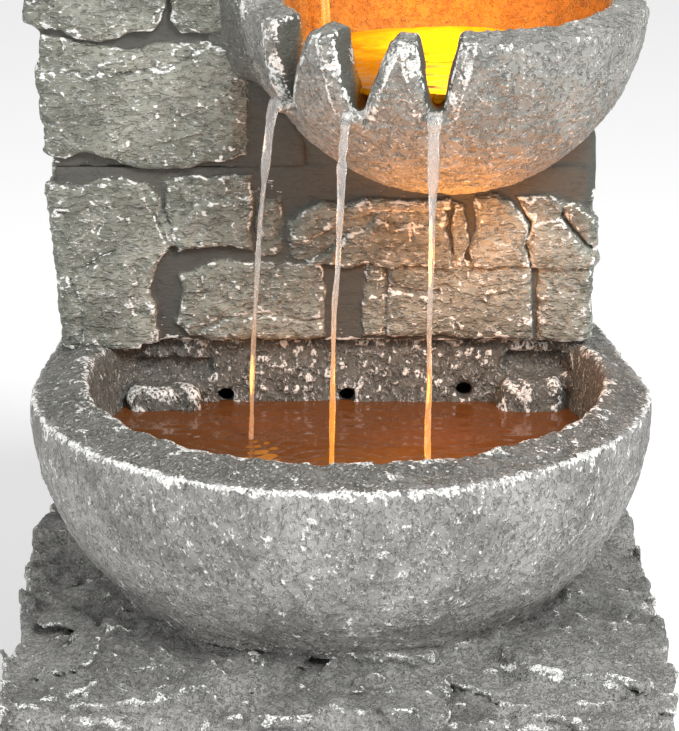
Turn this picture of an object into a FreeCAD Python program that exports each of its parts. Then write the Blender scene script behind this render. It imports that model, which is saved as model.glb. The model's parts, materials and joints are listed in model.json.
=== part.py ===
import FreeCAD, Part
import math
import os
import re
import Sketcher
from FreeCAD import Placement, Rotation, Vector

# Tiered rock fountain. Millimetres, +Z up, the front faces -Y.
# The origin is the centre of the footprint on the ground.

SIZES = {
    # rocky pedestal
    "block_wide": 378, "block_deep": 345, "block_top": 125, "block_skin": 9, "block_corner": 24,
    "foot_lift": 4, "foot_pad": 14, "foot_inset": 26,
    # lower basin
    "basin_x": 1, "basin_y": 15.5, "rim_wide": 184, "rim_low": 246, "rim_top": 254, "rim_knee": 236,
    "stem_wide": 126, "mouth": 152.5, "basin_floor": 140, "floor_wide": 100, "mouth_knee": 238,
    "tail_wide": 162, "tail_stem": 110, "basin_skin": 12, "water": 213,
    "screen_front": 82.5, "screen_thick": 12, "well_half": 106, "well_floor": 150, "drain_bore": 5,
    # stacked-stone wall and tower
    "wall_front": 67.5, "wall_left": -174, "wall_right": 152, "wall_back": 172.5, "wall_skin": 12,
    "wall_top": 352, "neck_top": 400, "tower_left": -178, "tower_right": -57, "tower_top": 610,
    "crown_top": 645, "stone_proud": 6,
    # middle bowl
    "mid_x": 63, "mid_y": 67.5, "mid_wide": 123, "mid_rim": 469, "mid_deep": 113, "mid_mouth": 95,
    # top bowl
    "top_x": -103, "top_y": 86.5, "top_wide": 86, "top_rim": 690, "top_deep": 80, "top_mouth": 66,
    "notch": 30, "lip_half": 7, "flat": 8,
    # service door in the back of the wall
    "door_left": -121, "door_right": 31, "door_low": 260, "door_high": 338, "door_lap": 8,
    "door_sheet": 4, "gasket": 1.7, "rebate": 6, "door_screw": 2, "insert": 3.2,
    # pump
    "pump_x": -46, "pump_y": 127, "pump_z": 177, "pump_half": 22, "pump_base": 156,
    "motor_long": 40, "volute_long": 18, "grille_long": 14, "rotor": 9, "vane": 14, "shaft": 1.5,
    "spigot": 6.5, "spigot_top": 222, "cup": 6,
    # plumbing, lamps and leads
    "hose": 8.5, "stem": 6, "riser": 8, "lamp": 18, "lamp_tall": 14, "lens": 15, "lens_tall": 3,
    "lamp_x": 18, "lamp_y": -12, "lead": 2, "lamp_back": 28, "riser_back": 18,
    "lamp_seat": 27, "riser_seat": 18,
    "junction_x": 95, "junction_z": 295, "junction_half": 20, "junction_deep": 24, "gland": 9,
    "plug_x": 60, "plug_z": 158, "plug": 8, "plug_head": 12,
}

doc = FreeCAD.newDocument("fountain")
sheet = doc.addObject("Spreadsheet::Sheet", "dims")
for row, (alias, size) in enumerate(SIZES.items(), 1):
    sheet.set(f"A{row}", alias)
    sheet.set(f"B{row}", str(size))
    sheet.setAlias(f"B{row}", alias)
doc.recompute()

NODES = {}
MID_AXIS = ("mid_x", "mid_y+lamp_back")
TOP_AXIS = ("top_x", "top_y+riser_back")


def bound(text):
    """Write an expression in sheet terms: plain words become cells of the sheet."""
    return re.sub(r"[a-z_]+", lambda word: f"dims.{word[0]}" if word[0] in SIZES else word[0], str(text))


def number(text):
    """Work out an expression now, for a value that has no property to bind."""
    answer = sheet.evalExpression(bound(text))
    return float(getattr(answer, "Value", answer))


def bind(thing, **values):
    for prop, value in values.items():
        thing.setExpression(prop, bound(value))
    return thing


def put(thing, x, y, z):
    for axis, value in zip("xyz", (x, y, z)):
        thing.setExpression(f"Placement.Base.{axis}", bound(value))
    return thing


def node(name, thing):
    thing.Label = name
    NODES[name] = thing
    return thing


def box(name, x, y, z):
    """A block between two bounds on each axis."""
    block = doc.addObject("Part::Box", name)
    bind(block, Length=f"({x[1]})-({x[0]})", Width=f"({y[1]})-({y[0]})", Height=f"({z[1]})-({z[0]})")
    return put(block, x[0], y[0], z[0])


TURN = {"x": Rotation(Vector(0, 1, 0), 90), "y": Rotation(Vector(1, 0, 0), -90), "z": Rotation()}


def rod(name, radius, x, y, z):
    """A cylinder. The axis with two bounds is the one it runs along."""
    bar = doc.addObject("Part::Cylinder", name)
    along = [axis for axis, value in zip("xyz", (x, y, z)) if isinstance(value, tuple)][0]
    low, high = {"x": x, "y": y, "z": z}[along]
    bar.Placement = Placement(Vector(), TURN[along])
    bind(bar, Radius=radius, Height=f"({high})-({low})")
    return put(bar, *[value[0] if isinstance(value, tuple) else value for value in (x, y, z)])


def fuse(name, *things):
    joined = doc.addObject("Part::MultiFuse", name)
    joined.Shapes = list(things)
    return joined


def cut(name, base, *tools):
    result = doc.addObject("Part::Cut", name)
    result.Base = base
    result.Tool = tools[0] if len(tools) == 1 else fuse(name + "_tools", *tools)
    return result


def ring(name, outer, inner, x, y, z):
    """A tube. The bore runs past both ends so that it cuts cleanly."""
    def longer(value):
        return (f"({value[0]})-1", f"({value[1]})+1") if isinstance(value, tuple) else value
    return cut(name, rod(name + "_outer", outer, x, y, z),
               rod(name + "_bore", inner, longer(x), longer(y), longer(z)))


def hexagon(name, across_corners, x, y, z):
    """A hexagonal prism that stands along Z."""
    prism = doc.addObject("Part::Prism", name)
    prism.Polygon = 6
    bind(prism, Circumradius=across_corners, Height=f"({z[1]})-({z[0]})")
    return put(prism, x, y, z[0])


def rounded(name, thing, radius, wanted):
    """Round the edges that the test picks."""
    doc.recompute()
    edges = [(i, radius, radius) for i, edge in enumerate(thing.Shape.Edges, 1) if wanted(edge)]
    fillet = doc.addObject("Part::Fillet", name)
    fillet.Base = thing
    fillet.Edges = edges
    return fillet


def upright(edge):
    low, high = edge.Vertexes[0].Point, edge.Vertexes[-1].Point
    return abs(low.x - high.x) < 0.1 and abs(low.y - high.y) < 0.1 and abs(low.z - high.z) > 1


def along_x(edge):
    return abs(edge.Vertexes[0].Point.x - edge.Vertexes[-1].Point.x) > 1


def front_of(depth):
    def wanted(edge):
        return all(abs(corner.Point.y - depth) < 0.1 for corner in edge.Vertexes)
    return wanted


def plane(body, role):
    return [feature for feature in body.Origin.OriginFeatures if feature.Role == role][0]


def outline(body, name, points, offset=0):
    """A closed sketch on the body's XZ plane. Each point is x, z and, for an arc that
    arrives there, its radius (negative when the centre lies to the right of the walk)."""
    sketch = body.newObject("Sketcher::SketchObject", name)
    sketch.AttachmentSupport = [(plane(body, "XZ_Plane"), "")]
    sketch.MapMode = "FlatFace"
    if offset:
        sketch.setExpression("AttachmentOffset.Base.z", bound(offset))
    corners = [Vector(number(point[0]), number(point[1]), 0) for point in points]
    for i, point in enumerate(points):
        start, end = corners[i - 1], corners[i]
        if len(point) == 2:
            sketch.addGeometry(Part.LineSegment(start, end), False)
            continue
        radius, middle = number(point[2]), (start + end) / 2
        chord = end - start
        left = Vector(-chord.y, chord.x, 0).normalize()
        rise = math.sqrt(radius * radius - (chord.Length / 2) ** 2)
        centre = middle + left * math.copysign(rise, radius)
        outward = (middle - centre).normalize() * abs(radius)
        ends = (start, end) if radius > 0 else (end, start)
        sketch.addGeometry(Part.Arc(ends[0], centre + outward, ends[1]), False)
    for i, point in enumerate(points):
        after = (i + 1) % len(points)
        last = ends_of(point)[1]
        sketch.addConstraint(Sketcher.Constraint("Coincident", i, last, after, ends_of(points[after])[0]))
        for kind, text, value in (("DistanceX", point[0], corners[i].x),
                                  ("DistanceY", point[1], corners[i].y)):
            mark = sketch.addConstraint(Sketcher.Constraint(kind, -1, 1, i, last, value))
            sketch.setExpression(f"Constraints[{mark}]", bound(text))
        if len(point) == 3:
            mark = sketch.addConstraint(Sketcher.Constraint("Radius", i, abs(number(point[2]))))
            sketch.setExpression(f"Constraints[{mark}]", bound(f"abs({point[2]})"))
    return sketch


def ends_of(point):
    """First and last end along the walk: an arc is always drawn anticlockwise."""
    clockwise = len(point) == 3 and number(point[2]) < 0
    return (2, 1) if clockwise else (1, 2)


def turned(name, points, x, y, sweep=360):
    """A revolved body about the vertical line through x, y. Half a turn makes its front half."""
    body = doc.addObject("PartDesign::Body", name)
    put(body, x, y, 0)
    sketch = outline(body, name + "_profile", points)
    spin = body.newObject("PartDesign::Revolution", name + "_spin")
    spin.Profile = sketch
    spin.ReferenceAxis = (sketch, ["V_Axis"])
    spin.Angle = sweep
    spin.Reversed = True
    sketch.Visibility = False
    return body


def path(points, gap=0.45):
    """Straight runs joined by tangent arcs that are as large as their runs allow."""
    spots = [Vector(*point) for point in points]
    edges, here, radii = [], spots[0], []
    for before, spot, after in zip(spots, spots[1:], spots[2:]):
        back, onward = (before - spot), (after - spot)
        reach = gap * min(back.Length, onward.Length)
        back.normalize()
        onward.normalize()
        half_turn = (math.pi - back.getAngle(onward)) / 2
        radius = reach / math.tan(half_turn)
        enter, leave = spot + back * reach, spot + onward * reach
        bisector = (back + onward).normalize()
        centre = spot + bisector * math.hypot(radius, reach)
        edges.append(Part.LineSegment(here, enter).toShape())
        edges.append(Part.Arc(enter, centre - bisector * radius, leave).toShape())
        radii.append(round(radius))
        here = leave
    edges.append(Part.LineSegment(here, spots[-1]).toShape())
    return Part.Wire(edges), radii


def sleeve(name, points, outer, inner=None):
    """A hose or lead along its route, hollow when an inner radius is given."""
    wire, radii = path(points)
    start, heading = Vector(*points[0]), Vector(*points[1]) - Vector(*points[0])

    def swept(radius):
        circle = Part.Wire(Part.Circle(start, heading, radius).toShape())
        return wire.makePipeShell([circle], True, False)

    shape = swept(number(outer))
    area = math.pi * number(outer) ** 2
    if inner:
        shape = shape.cut(swept(number(inner)))
        area -= math.pi * number(inner) ** 2
    print(name, "radii", radii, "length", round(wire.Length),
          "volume ratio", round(shape.Volume / (wire.Length * area), 4))
    tube = doc.addObject("Part::Feature", name)
    tube.Shape = shape
    tube.Placement = Placement()
    return node(name, tube)


def arc_radius(wide, deep):
    """Radius of the arc from the axis to a rim this wide and this far above it."""
    return f"(({wide})*({wide})+({deep})*({deep}))/(2*({deep}))"


def bulge_radius(out, rise):
    """Radius of the arc that swells this far out over this rise and ends upright."""
    return f"(({out})*({out})+({rise})*({rise}))/(2*({out}))"


# ---------------------------------------------------------------- pedestal

def base_block():
    body = doc.addObject("PartDesign::Body", "block_body")
    half = "block_wide/2"
    sketch = outline(body, "block_side", [
        (f"-{half}", "foot_lift"), (half, "foot_lift"), (half, "block_top-8"), (f"{half}-6", "block_top"),
        (f"6-{half}", "block_top"), (f"-{half}", "block_top-8")])
    pad = body.newObject("PartDesign::Pad", "block_pad")
    pad.Profile = sketch
    pad.Midplane = True
    bind(pad, Length="block_deep")
    shell = rounded("block_rounded", body, number("block_corner"), upright)
    hollow = box("block_hollow", ("block_skin-block_wide/2", "block_wide/2-block_skin"),
                 ("block_skin-block_deep/2", "block_deep/2-block_skin"), (0, "block_top-block_skin"))
    open_shell = cut("block_shell", shell, hollow)
    bosses = []
    for i, (side, end) in enumerate(CORNERS):
        bosses.append(rod(f"block_boss_{i}", "foot_pad+5", *corner_spot(side, end),
                          ("foot_lift", "foot_lift+30")))
    joined = fuse("block_joined", open_shell, *bosses)
    seats = [rod(f"block_seat_{i}", "foot_pad", *corner_spot(side, end), (0, "foot_lift+3"))
             for i, (side, end) in enumerate(CORNERS)]
    holes = [rod(f"block_hole_{i}", 4.2, x, y, ("block_top-block_skin-1", "block_top+1"))
             for i, (x, y) in enumerate(BOLTS)]
    node("base_block", cut("base_block", joined, *seats, *holes))


CORNERS = [(-1, -1), (1, -1), (1, 1), (-1, 1)]
BOLTS = [("basin_x", "basin_y-80"), ("basin_x+75", "basin_y+60"), ("basin_x-75", "basin_y+60")]


def corner_spot(side, end):
    return f"{side}*(block_wide/2-foot_inset)", f"{end}*(block_deep/2-foot_inset)"


def base_feet():
    pads = [rod(f"foot_{i}", "foot_pad", *corner_spot(side, end), (0, "foot_lift+3"))
            for i, (side, end) in enumerate(CORNERS)]
    node("base_feet", fuse("base_feet", *pads))


def basin_bolts():
    bolts = []
    for i, (x, y) in enumerate(BOLTS):
        shank = rod(f"bolt_shank_{i}", 4, x, y, ("block_top-block_skin-2", "block_top+9"))
        head = hexagon(f"bolt_head_{i}", 7.5, x, y, ("block_top-block_skin-7", "block_top-block_skin-2"))
        bolts.append(fuse(f"bolt_{i}", shank, head))
    node("basin_bolts", fuse("basin_bolts", *bolts))


def bolt_washers():
    rings = [ring(f"washer_{i}", 10, 4.2, x, y, ("block_top-block_skin-2", "block_top-block_skin"))
             for i, (x, y) in enumerate(BOLTS)]
    node("bolt_washers", fuse("bolt_washers", *rings))


# ---------------------------------------------------------------- lower basin

def lower_basin():
    swell = bulge_radius("rim_wide-stem_wide", "rim_knee-block_top")
    tail_swell = bulge_radius("tail_wide-tail_stem", "rim_knee-block_top")
    front = turned("basin_round", [
        ("0", "block_top"), ("stem_wide", "block_top"), ("rim_wide", "rim_knee", swell),
        ("rim_wide", "rim_low"), ("mouth", "rim_top"), ("0", "rim_top")], "basin_x", "basin_y", sweep=180)
    tail = doc.addObject("PartDesign::Body", "basin_tail")
    put(tail, "basin_x", "basin_y", 0)
    near = outline(tail, "tail_near", tail_points("rim_wide", "stem_wide", swell, 32))
    far = outline(tail, "tail_far", tail_points("tail_wide", "tail_stem", tail_swell, 14),
                  "basin_y-wall_back")
    loft = tail.newObject("PartDesign::AdditiveLoft", "tail_loft")
    loft.Profile = near
    loft.Sections = [far]
    loft.Ruled = True
    bowl = turned("basin_hollow", [
        ("0", "basin_floor"), ("floor_wide", "basin_floor"),
        ("mouth-3", "mouth_knee", bulge_radius("mouth-3-floor_wide", "mouth_knee-basin_floor")),
        ("mouth", "rim_top+1"), ("0", "rim_top+1")], "basin_x+2.5", "basin_y-1")
    pool = cut("basin_pool", bowl, box("behind_screen", (-250, 250), ("screen_front", 300), (0, 400)))
    well = box("pump_well", ("-well_half", "well_half"),
               ("screen_front+screen_thick", "wall_back-basin_skin"), ("well_floor", "rim_top+1"))
    drains = [rod(f"drain_{i}", "drain_bore", x, ("screen_front-20", "screen_front+screen_thick+1"), z)
              for i, (x, z) in enumerate(DRAINS)]
    lead_hole = rod("lead_hole", 5, "lamp_x+6", ("screen_front-12", "screen_front+screen_thick+1"), 158)
    sockets = [rod(f"bolt_socket_{i}", 4.05, x, y, ("block_top-1", "block_top+10"))
               for i, (x, y) in enumerate(BOLTS)]
    plug_way = rod("plug_way", "plug+0.05", "plug_x", ("wall_back-basin_skin-1", "wall_back"), "plug_z")
    plug_seat = rod("plug_seat", "plug_head+1", "plug_x", ("wall_back-6", "wall_back+1"), "plug_z")
    beyond = box("basin_beyond", (-250, 250), ("wall_back", 300), (0, 400))
    shell = cut("basin_shell", fuse("basin_solid", front, tail), pool, well, *drains, lead_hole, *sockets,
                plug_way, plug_seat, beyond)
    ledges = [box(f"ledge_{i}", x, ("screen_front-20", "screen_front"), z)
              for i, (x, z) in enumerate(LEDGES)]
    node("lower_basin", fuse("lower_basin", shell, *ledges))


DRAINS = [(-70, "water+2"), (4.6, "water+2"), (76.6, "water+5")]
LEDGES = [((-129, -84), ("water-12", "water+15")), ((95, 128), ("water-12", "water+20"))]


def tail_points(wide, stem, swell, inset):
    return [(f"-{stem}", "block_top", swell), (stem, "block_top"), (wide, "rim_knee", swell),
            (wide, "rim_low"), (f"{wide}-{inset}", "rim_top"), (f"{inset}-{wide}", "rim_top"),
            (f"-{wide}", "rim_low"), (f"-{wide}", "rim_knee")]


# ---------------------------------------------------------------- wall and tower

# Face stones, as left, right, bottom, top. End stones wrap the corner to the back.
STONES = [
    (-9 - 88, -9, 256, 302), (-7, 8, 256, 301), (13, 114, 256, 298),
    (-104, -51, 310, 352), (-33, 65, 306, 350), (68, 79, 306, 345), (82, 113, 306, 347),
]
LEFT_STONES = [(-174, -111, 256, 357), (-179, -57, 369, 439), (-183, -125, 449, 502), (-184, -122, 510, 556),
               (-180, -118, 563, 604)]
TOWER_STONES = [(-122, -104, 449, 502), (-116, -57, 508, 554), (-112, -57, 563, 604)]
RIGHT_STONES = [(117, 152, 256, 294), (116, 158, 303, 345)]
TOWER_ENDS = [(-98, -53, 446, 502)]


def stone(name, bounds, deep):
    left, right, low, high = bounds
    block = box(name, (left, right), ("wall_front", deep), (low, high))
    return rounded(name + "_worn", block, 3, front_of(number("wall_front")))


def wall_shell():
    face = "wall_front+stone_proud"
    core = box("wall_core", ("wall_left+4", "wall_right-4"), (face, "wall_back"), ("rim_top", "wall_top"))
    depth = (face, "wall_back")
    neck = box("bowl_neck", ("tower_right-10", "wall_right-2"), depth, ("wall_top-5", "neck_top"))
    tower = box("tower_core", ("tower_left+4", "tower_right-4"), depth, ("wall_top-5", "tower_top"))
    crown = box("tower_crown", ("tower_left+10", "tower_right-8"), depth, ("tower_top-5", "crown_top"))
    stones = [stone(f"stone_{i}", bounds, "wall_front+stone_proud+4")
              for i, bounds in enumerate(STONES + TOWER_STONES)]
    stones += [stone(f"end_stone_{i}", bounds, "wall_back-2")
               for i, bounds in enumerate(LEFT_STONES + RIGHT_STONES + TOWER_ENDS)]
    solid = fuse("wall_solid", core, neck, tower, crown, *stones)
    inner_face = "wall_front+stone_proud+wall_skin"
    inner_back = "wall_back-wall_skin"
    room = box("wall_room", ("wall_left+18", "wall_right-18"), (inner_face, inner_back),
               ("rim_top-1", "wall_top-12"))
    shaft_room = box("tower_room", ("tower_left+18", "tower_right-16"), (inner_face, inner_back),
                     ("wall_top-14", "tower_top-15"))
    doorway = box("doorway", ("door_left+door_lap", "door_right-door_lap"),
                  (f"{inner_back}-1", "wall_back+1"), ("door_low+door_lap", "door_high-door_lap"))
    rebate = box("door_rebate", ("door_left-1", "door_right+1"), ("wall_back-rebate", "wall_back+1"),
                 ("door_low-1", "door_high+1"))
    screw_ways = [rod(f"insert_way_{i}", "insert", x, ("wall_back-wall_skin-1", "wall_back"), z)
                  for i, (x, z) in enumerate(DOOR_SCREWS)]
    mid_ball = turned("mid_socket", ball_points("mid_wide", "mid_rim", "mid_deep"), "mid_x", "mid_y")
    top_ball = turned("top_socket", ball_points("top_wide", "top_rim", "top_deep"), "top_x", "top_y")
    mid_way = rod("mid_stem_way", "stem+0.2", *MID_AXIS, ("wall_top-20", "neck_top"))
    top_way = rod("top_stem_way", "riser+0.2", *TOP_AXIS, ("tower_top-20", "crown_top"))
    gland_pocket = rod("gland_pocket", "gland+3", "junction_x", ("wall_back-8", "wall_back+1"), "junction_z")
    gland_way = rod("gland_way", 6.1, "junction_x", ("wall_back-wall_skin-1", "wall_back"), "junction_z")
    node("wall_shell", cut("wall_shell", solid, room, shaft_room, doorway, rebate, *screw_ways, mid_ball,
                           top_ball, mid_way, top_way, gland_pocket, gland_way))


DOOR_SCREWS = [("door_left+4", "door_low+4"), ("door_right-4", "door_low+4"),
               ("door_right-4", "door_high-4"), ("door_left+4", "door_high-4")]


def ball_points(wide, rim, deep):
    return [("0", f"{rim}-{deep}"), ("flat", f"{rim}-{deep}"),
            (wide, f"{rim}-4", arc_radius(f"{wide}-flat", f"{deep}-4")), (wide, f"{rim}+60"),
            ("0", f"{rim}+60")]


# ---------------------------------------------------------------- bowls

def notch(name, x, y, z, wide, bearing):
    """A V-shaped spillway: a triangular prism that points down and runs out along its bearing."""
    wedge = doc.addObject("Part::Prism", name)
    wedge.Polygon = 3
    bind(wedge, Circumradius="notch", Height=f"{wide}")
    outward = Vector(math.sin(math.radians(bearing)), -math.cos(math.radians(bearing)), 0)
    wedge.Placement = Placement(Vector(), Rotation(Vector(0, 0, -1), Vector(), outward, "ZXY"))
    return put(wedge, f"{x}+{wide}*0.5*{outward.x:.5f}", f"{y}+{wide}*0.5*{outward.y:.5f}", z)


def spout(name, x, y, z, reach, bearing):
    """A short tongue under a spillway that throws the water clear."""
    tongue = doc.addObject("Part::Cylinder", name)
    bind(tongue, Radius="lip_half", Height="18")
    outward = Vector(math.sin(math.radians(bearing)), -math.cos(math.radians(bearing)), 0)
    tongue.Placement = Placement(Vector(), Rotation(Vector(0, 0, 1), outward))
    return put(tongue, f"{x}+({reach})*{outward.x:.5f}", f"{y}+({reach})*{outward.y:.5f}", z)


def bowl(name, key, bearings, bounds, seat):
    """A round rock bowl with spillways in its rim, and a flat at the back and beside the tower."""
    x, y, wide, rim, deep, mouth = [f"{key}_{word}" for word in ("x", "y", "wide", "rim", "deep", "mouth")]
    thick = f"({wide}-{mouth})*0.62"
    solid = turned(name + "_turned", [
        ("0", f"{rim}-{deep}"), ("flat", f"{rim}-{deep}"),
        (wide, f"{rim}-4", arc_radius(f"{wide}-flat", f"{deep}-4")),
        (f"{mouth}+4", rim), (mouth, f"{rim}-3"),
        ("flat", f"{rim}-{deep}+{thick}", "-1*" + arc_radius(f"{mouth}-flat", f"{deep}-3-{thick}")),
        ("0", f"{rim}-{deep}+{thick}")], x, y)
    tongues = [spout(f"{name}_lip_{i}", x, y, f"{rim}-notch*1.5-2", f"{wide}-26", bearing)
               for i, bearing in enumerate(bearings)]
    body = fuse(name + "_body", solid, seat, *tongues)
    wedges = [notch(f"{name}_notch_{i}", x, y, f"{rim}-notch*0.5+2", wide, bearing)
              for i, bearing in enumerate(bearings)]
    return cut(name + "_cut", body, *wedges, *bounds)


def middle_bowl():
    behind = box("mid_behind", (-250, 250), ("wall_back", 300), (300, 600))
    beside = box("mid_beside", (-250, "tower_right-4"), ("wall_front+stone_proud", 300), (300, 600))
    corner = box("mid_corner", (-250, -52.9), ("wall_front-0.1", 300), (445.9, 502.1))
    course = box("mid_course", (-250, -56.9), ("wall_front-0.1", 300), (368.9, 439.1))
    way = rod("mid_way", "stem+0.2", *MID_AXIS, (300, 420))
    seat = rod("mid_seat", "lamp", *MID_AXIS, ("mid_rim-mid_deep+14", "mid_rim-mid_deep+lamp_seat"))
    bounds = [behind, beside, corner, course, way]
    node("middle_bowl", bowl("middle_bowl", "mid", [-64, -31, -5], bounds, seat))


def top_bowl():
    way = rod("top_way", "riser+0.2", *TOP_AXIS, (560, 660))
    seat = rod("top_seat", 14, *TOP_AXIS, ("top_rim-top_deep+10", "top_rim-top_deep+riser_seat"))
    node("top_bowl", bowl("top_bowl", "top", [75, 102], [way], seat))


# ---------------------------------------------------------------- service door

def access_door():
    panel = box("door_panel", ("door_left", "door_right"), ("wall_back-door_sheet", "wall_back"),
                ("door_low", "door_high"))
    ways = [rod(f"door_way_{i}", "door_screw+0.2", x, ("wall_back-10", "wall_back+1"), z)
            for i, (x, z) in enumerate(DOOR_SCREWS)]
    sinks = [rod(f"door_sink_{i}", 3.6, x, ("wall_back-2", "wall_back+1"), z)
             for i, (x, z) in enumerate(DOOR_SCREWS)]
    node("access_door", cut("access_door", panel, *ways, *sinks))


def door_gasket():
    back = ("wall_back-door_sheet-gasket", "wall_back-door_sheet")
    frame = box("gasket_frame", ("door_left", "door_right"), back, ("door_low", "door_high"))
    window = box("gasket_window", ("door_left+door_lap", "door_right-door_lap"),
                 ("wall_back-20", "wall_back"), ("door_low+door_lap", "door_high-door_lap"))
    ways = [rod(f"gasket_way_{i}", "door_screw+0.2", x, ("wall_back-20", "wall_back+1"), z)
            for i, (x, z) in enumerate(DOOR_SCREWS)]
    node("door_gasket", cut("door_gasket", frame, window, *ways))


def door_screws():
    screws = []
    for i, (x, z) in enumerate(DOOR_SCREWS):
        shank = rod(f"screw_shank_{i}", "door_screw", x, ("wall_back-11.5", "wall_back-2"), z)
        head = rod(f"screw_head_{i}", 3.5, x, ("wall_back-2", "wall_back-0.2"), z)
        slot = box(f"screw_slot_{i}", (f"{x}-2.5", f"{x}+2.5"), ("wall_back-1", "wall_back+1"),
                   (f"{z}-0.4", f"{z}+0.4"))
        screws.append(cut(f"screw_{i}", fuse(f"screw_solid_{i}", shank, head), slot))
    node("door_screws", fuse("door_screws", *screws))


def door_inserts():
    rings = [ring(f"insert_{i}", "insert", "door_screw+0.05", x,
                  ("wall_back-wall_skin", "wall_back-rebate"), z)
             for i, (x, z) in enumerate(DOOR_SCREWS)]
    node("door_inserts", fuse("door_inserts", *rings))


# ---------------------------------------------------------------- pump

def pump_housing():
    block = box("motor_block", ("pump_x", "pump_x+motor_long"), ("pump_y-pump_half", "pump_y+pump_half"),
                ("pump_base", "pump_z+pump_half-1"))
    case = rounded("motor_case", block, 4, along_x)
    bore = rod("rotor_bore", "rotor+1", ("pump_x-1", "pump_x+30"), "pump_y", "pump_z")
    pin = rod("shaft_hole", "shaft", ("pump_x+29", "pump_x+34"), "pump_y", "pump_z")
    node("pump_housing", cut("pump_housing", case, bore, pin))


def pump_volute():
    start = "pump_x-volute_long"
    block = box("volute_block", (start, "pump_x"), ("pump_y-pump_half", "pump_y+pump_half"),
                ("pump_base", "pump_z+pump_half-1"))
    case = rounded("volute_case", block, 4, along_x)
    spigot = rod("spigot_tube", "spigot", "pump_x-9", "pump_y", ("pump_z+10", "spigot_top"))
    chamber = rod("vane_chamber", "vane+3", (f"{start}+3", "pump_x+1"), "pump_y", "pump_z")
    eye = rod("intake_eye", 7, (f"{start}-1", f"{start}+4"), "pump_y", "pump_z")
    throat = rod("outlet_throat", 4.5, "pump_x-9", "pump_y", ("pump_z+8", "spigot_top+1"))
    node("pump_volute", cut("pump_volute", fuse("volute_solid", case, spigot), chamber, eye, throat))


def impeller():
    magnet = rod("rotor_magnet", "rotor", ("pump_x-2", "pump_x+28"), "pump_y", "pump_z")
    disc = rod("vane_disc", "vane", ("pump_x-3", "pump_x-1"), "pump_y", "pump_z")
    vanes = []
    for i in range(6):
        vane = doc.addObject("Part::Box", f"vane_{i}")
        bind(vane, Length="8", Width="1.6", Height="vane-0.3")
        vane.Placement = Placement(Vector(), Rotation(Vector(1, 0, 0), 60 * i))
        vanes.append(put(vane, "pump_x-11", "pump_y", "pump_z"))
    bore = rod("impeller_bore", "shaft+0.05", ("pump_x-20", "pump_x+40"), "pump_y", "pump_z")
    node("impeller", cut("impeller", fuse("impeller_solid", magnet, disc, *vanes), bore))


def impeller_shaft():
    node("impeller_shaft", rod("impeller_shaft", "shaft", ("pump_x-12", "pump_x+34"), "pump_y", "pump_z"))


def intake_grille():
    front = "pump_x-volute_long-grille_long"
    block = box("grille_block", (front, "pump_x-volute_long-0.3"), ("pump_y-pump_half", "pump_y+pump_half"),
                ("pump_base", "pump_z+pump_half-1"))
    inside = box("grille_inside", (f"{front}+2", "pump_x-volute_long+1"),
                 ("pump_y-pump_half+2.5", "pump_y+pump_half-2.5"), ("pump_base+2.5", "pump_z+pump_half-3.5"))
    slots = [box(f"grille_slot_{i}", (f"{front}-1", f"{front}+4"),
                 (f"pump_y+{offset}-1.25", f"pump_y+{offset}+1.25"), ("pump_base+6", "pump_z+pump_half-7"))
             for i, offset in enumerate((-16, -11, 11, 16))]
    way = rod("dial_way", 1.55, (f"{front}-1", f"{front}+4"), "pump_y", "pump_z")
    node("intake_grille", cut("intake_grille", block, inside, *slots, way))


def flow_dial():
    front = "pump_x-volute_long-grille_long"
    hub = rod("dial_hub", 6, (f"{front}-3.4", f"{front}-0.4"), "pump_y", "pump_z")
    arm = box("dial_arm", (f"{front}-3.4", f"{front}-1.4"), ("pump_y-2", "pump_y+2"),
              ("pump_z", "pump_z+17"))
    pin = rod("dial_pin", 1.5, (f"{front}-1", f"{front}+3"), "pump_y", "pump_z")
    node("flow_dial", fuse("flow_dial", hub, arm, pin))


def pump_cups():
    cups = []
    for i, (dx, dy) in enumerate([(-10, -14), (-10, 14), (32, -14), (32, 14)]):
        cone = doc.addObject("Part::Cone", f"cup_{i}")
        bind(cone, Radius1="cup+1", Radius2="cup-3", Height="pump_base-well_floor")
        cups.append(put(cone, f"pump_x+{dx}", f"pump_y+{dy}", "well_floor"))
    node("pump_cups", fuse("pump_cups", *cups))


# ---------------------------------------------------------------- plumbing

HOSE_ROUTE = [(-55, 127, 200), (-55, 127, 262), (-86, 121, 322), (-110, 113, 396), (-110, 106, 470),
              (-103, 104.5, 535), (-103, 104.5, 586)]


def hose_clamps():
    low = ring("clamp_low", "hose+1.5", "hose", "pump_x-9", "pump_y", (206, 213))
    high = ring("clamp_high", "hose+1.5", "hose", *TOP_AXIS, (574, 581))
    node("hose_clamps", fuse("hose_clamps", low, high))


def outlet_fitting():
    """The bulkhead that clamps the top bowl on the tower and lets the water well up."""
    floor = "top_rim-top_deep+riser_seat+0.5"
    x, y = TOP_AXIS
    flange = rod("outlet_flange", 14, x, y, (floor, f"{floor}+4"))
    head = rod("outlet_head", "riser", x, y, (floor, f"{floor}+26"))
    stem = rod("outlet_stem", "riser", x, y, ("tower_top-22", f"{floor}+1"))
    barb = rod("outlet_barb", "spigot", x, y, ("tower_top-43", "tower_top-21"))
    bore = rod("outlet_bore", 4.5, x, y, ("tower_top-50", f"{floor}+30"))
    node("outlet_fitting", cut("outlet_fitting", fuse("outlet_solid", flange, head, stem, barb), bore))


def outlet_nut():
    nut = hexagon("outlet_hex", 14, *TOP_AXIS, ("tower_top-21.5", "tower_top-15"))
    node("outlet_nut", cut("outlet_nut", nut, rod("outlet_nut_way", "riser", *TOP_AXIS,
                                                  ("tower_top-40", "tower_top"))))


def outlet_washer():
    floor = "top_rim-top_deep+riser_seat+0.5"
    node("outlet_washer", ring("outlet_washer", 12, "riser", *TOP_AXIS, (f"{floor}-0.5", floor)))


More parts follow.
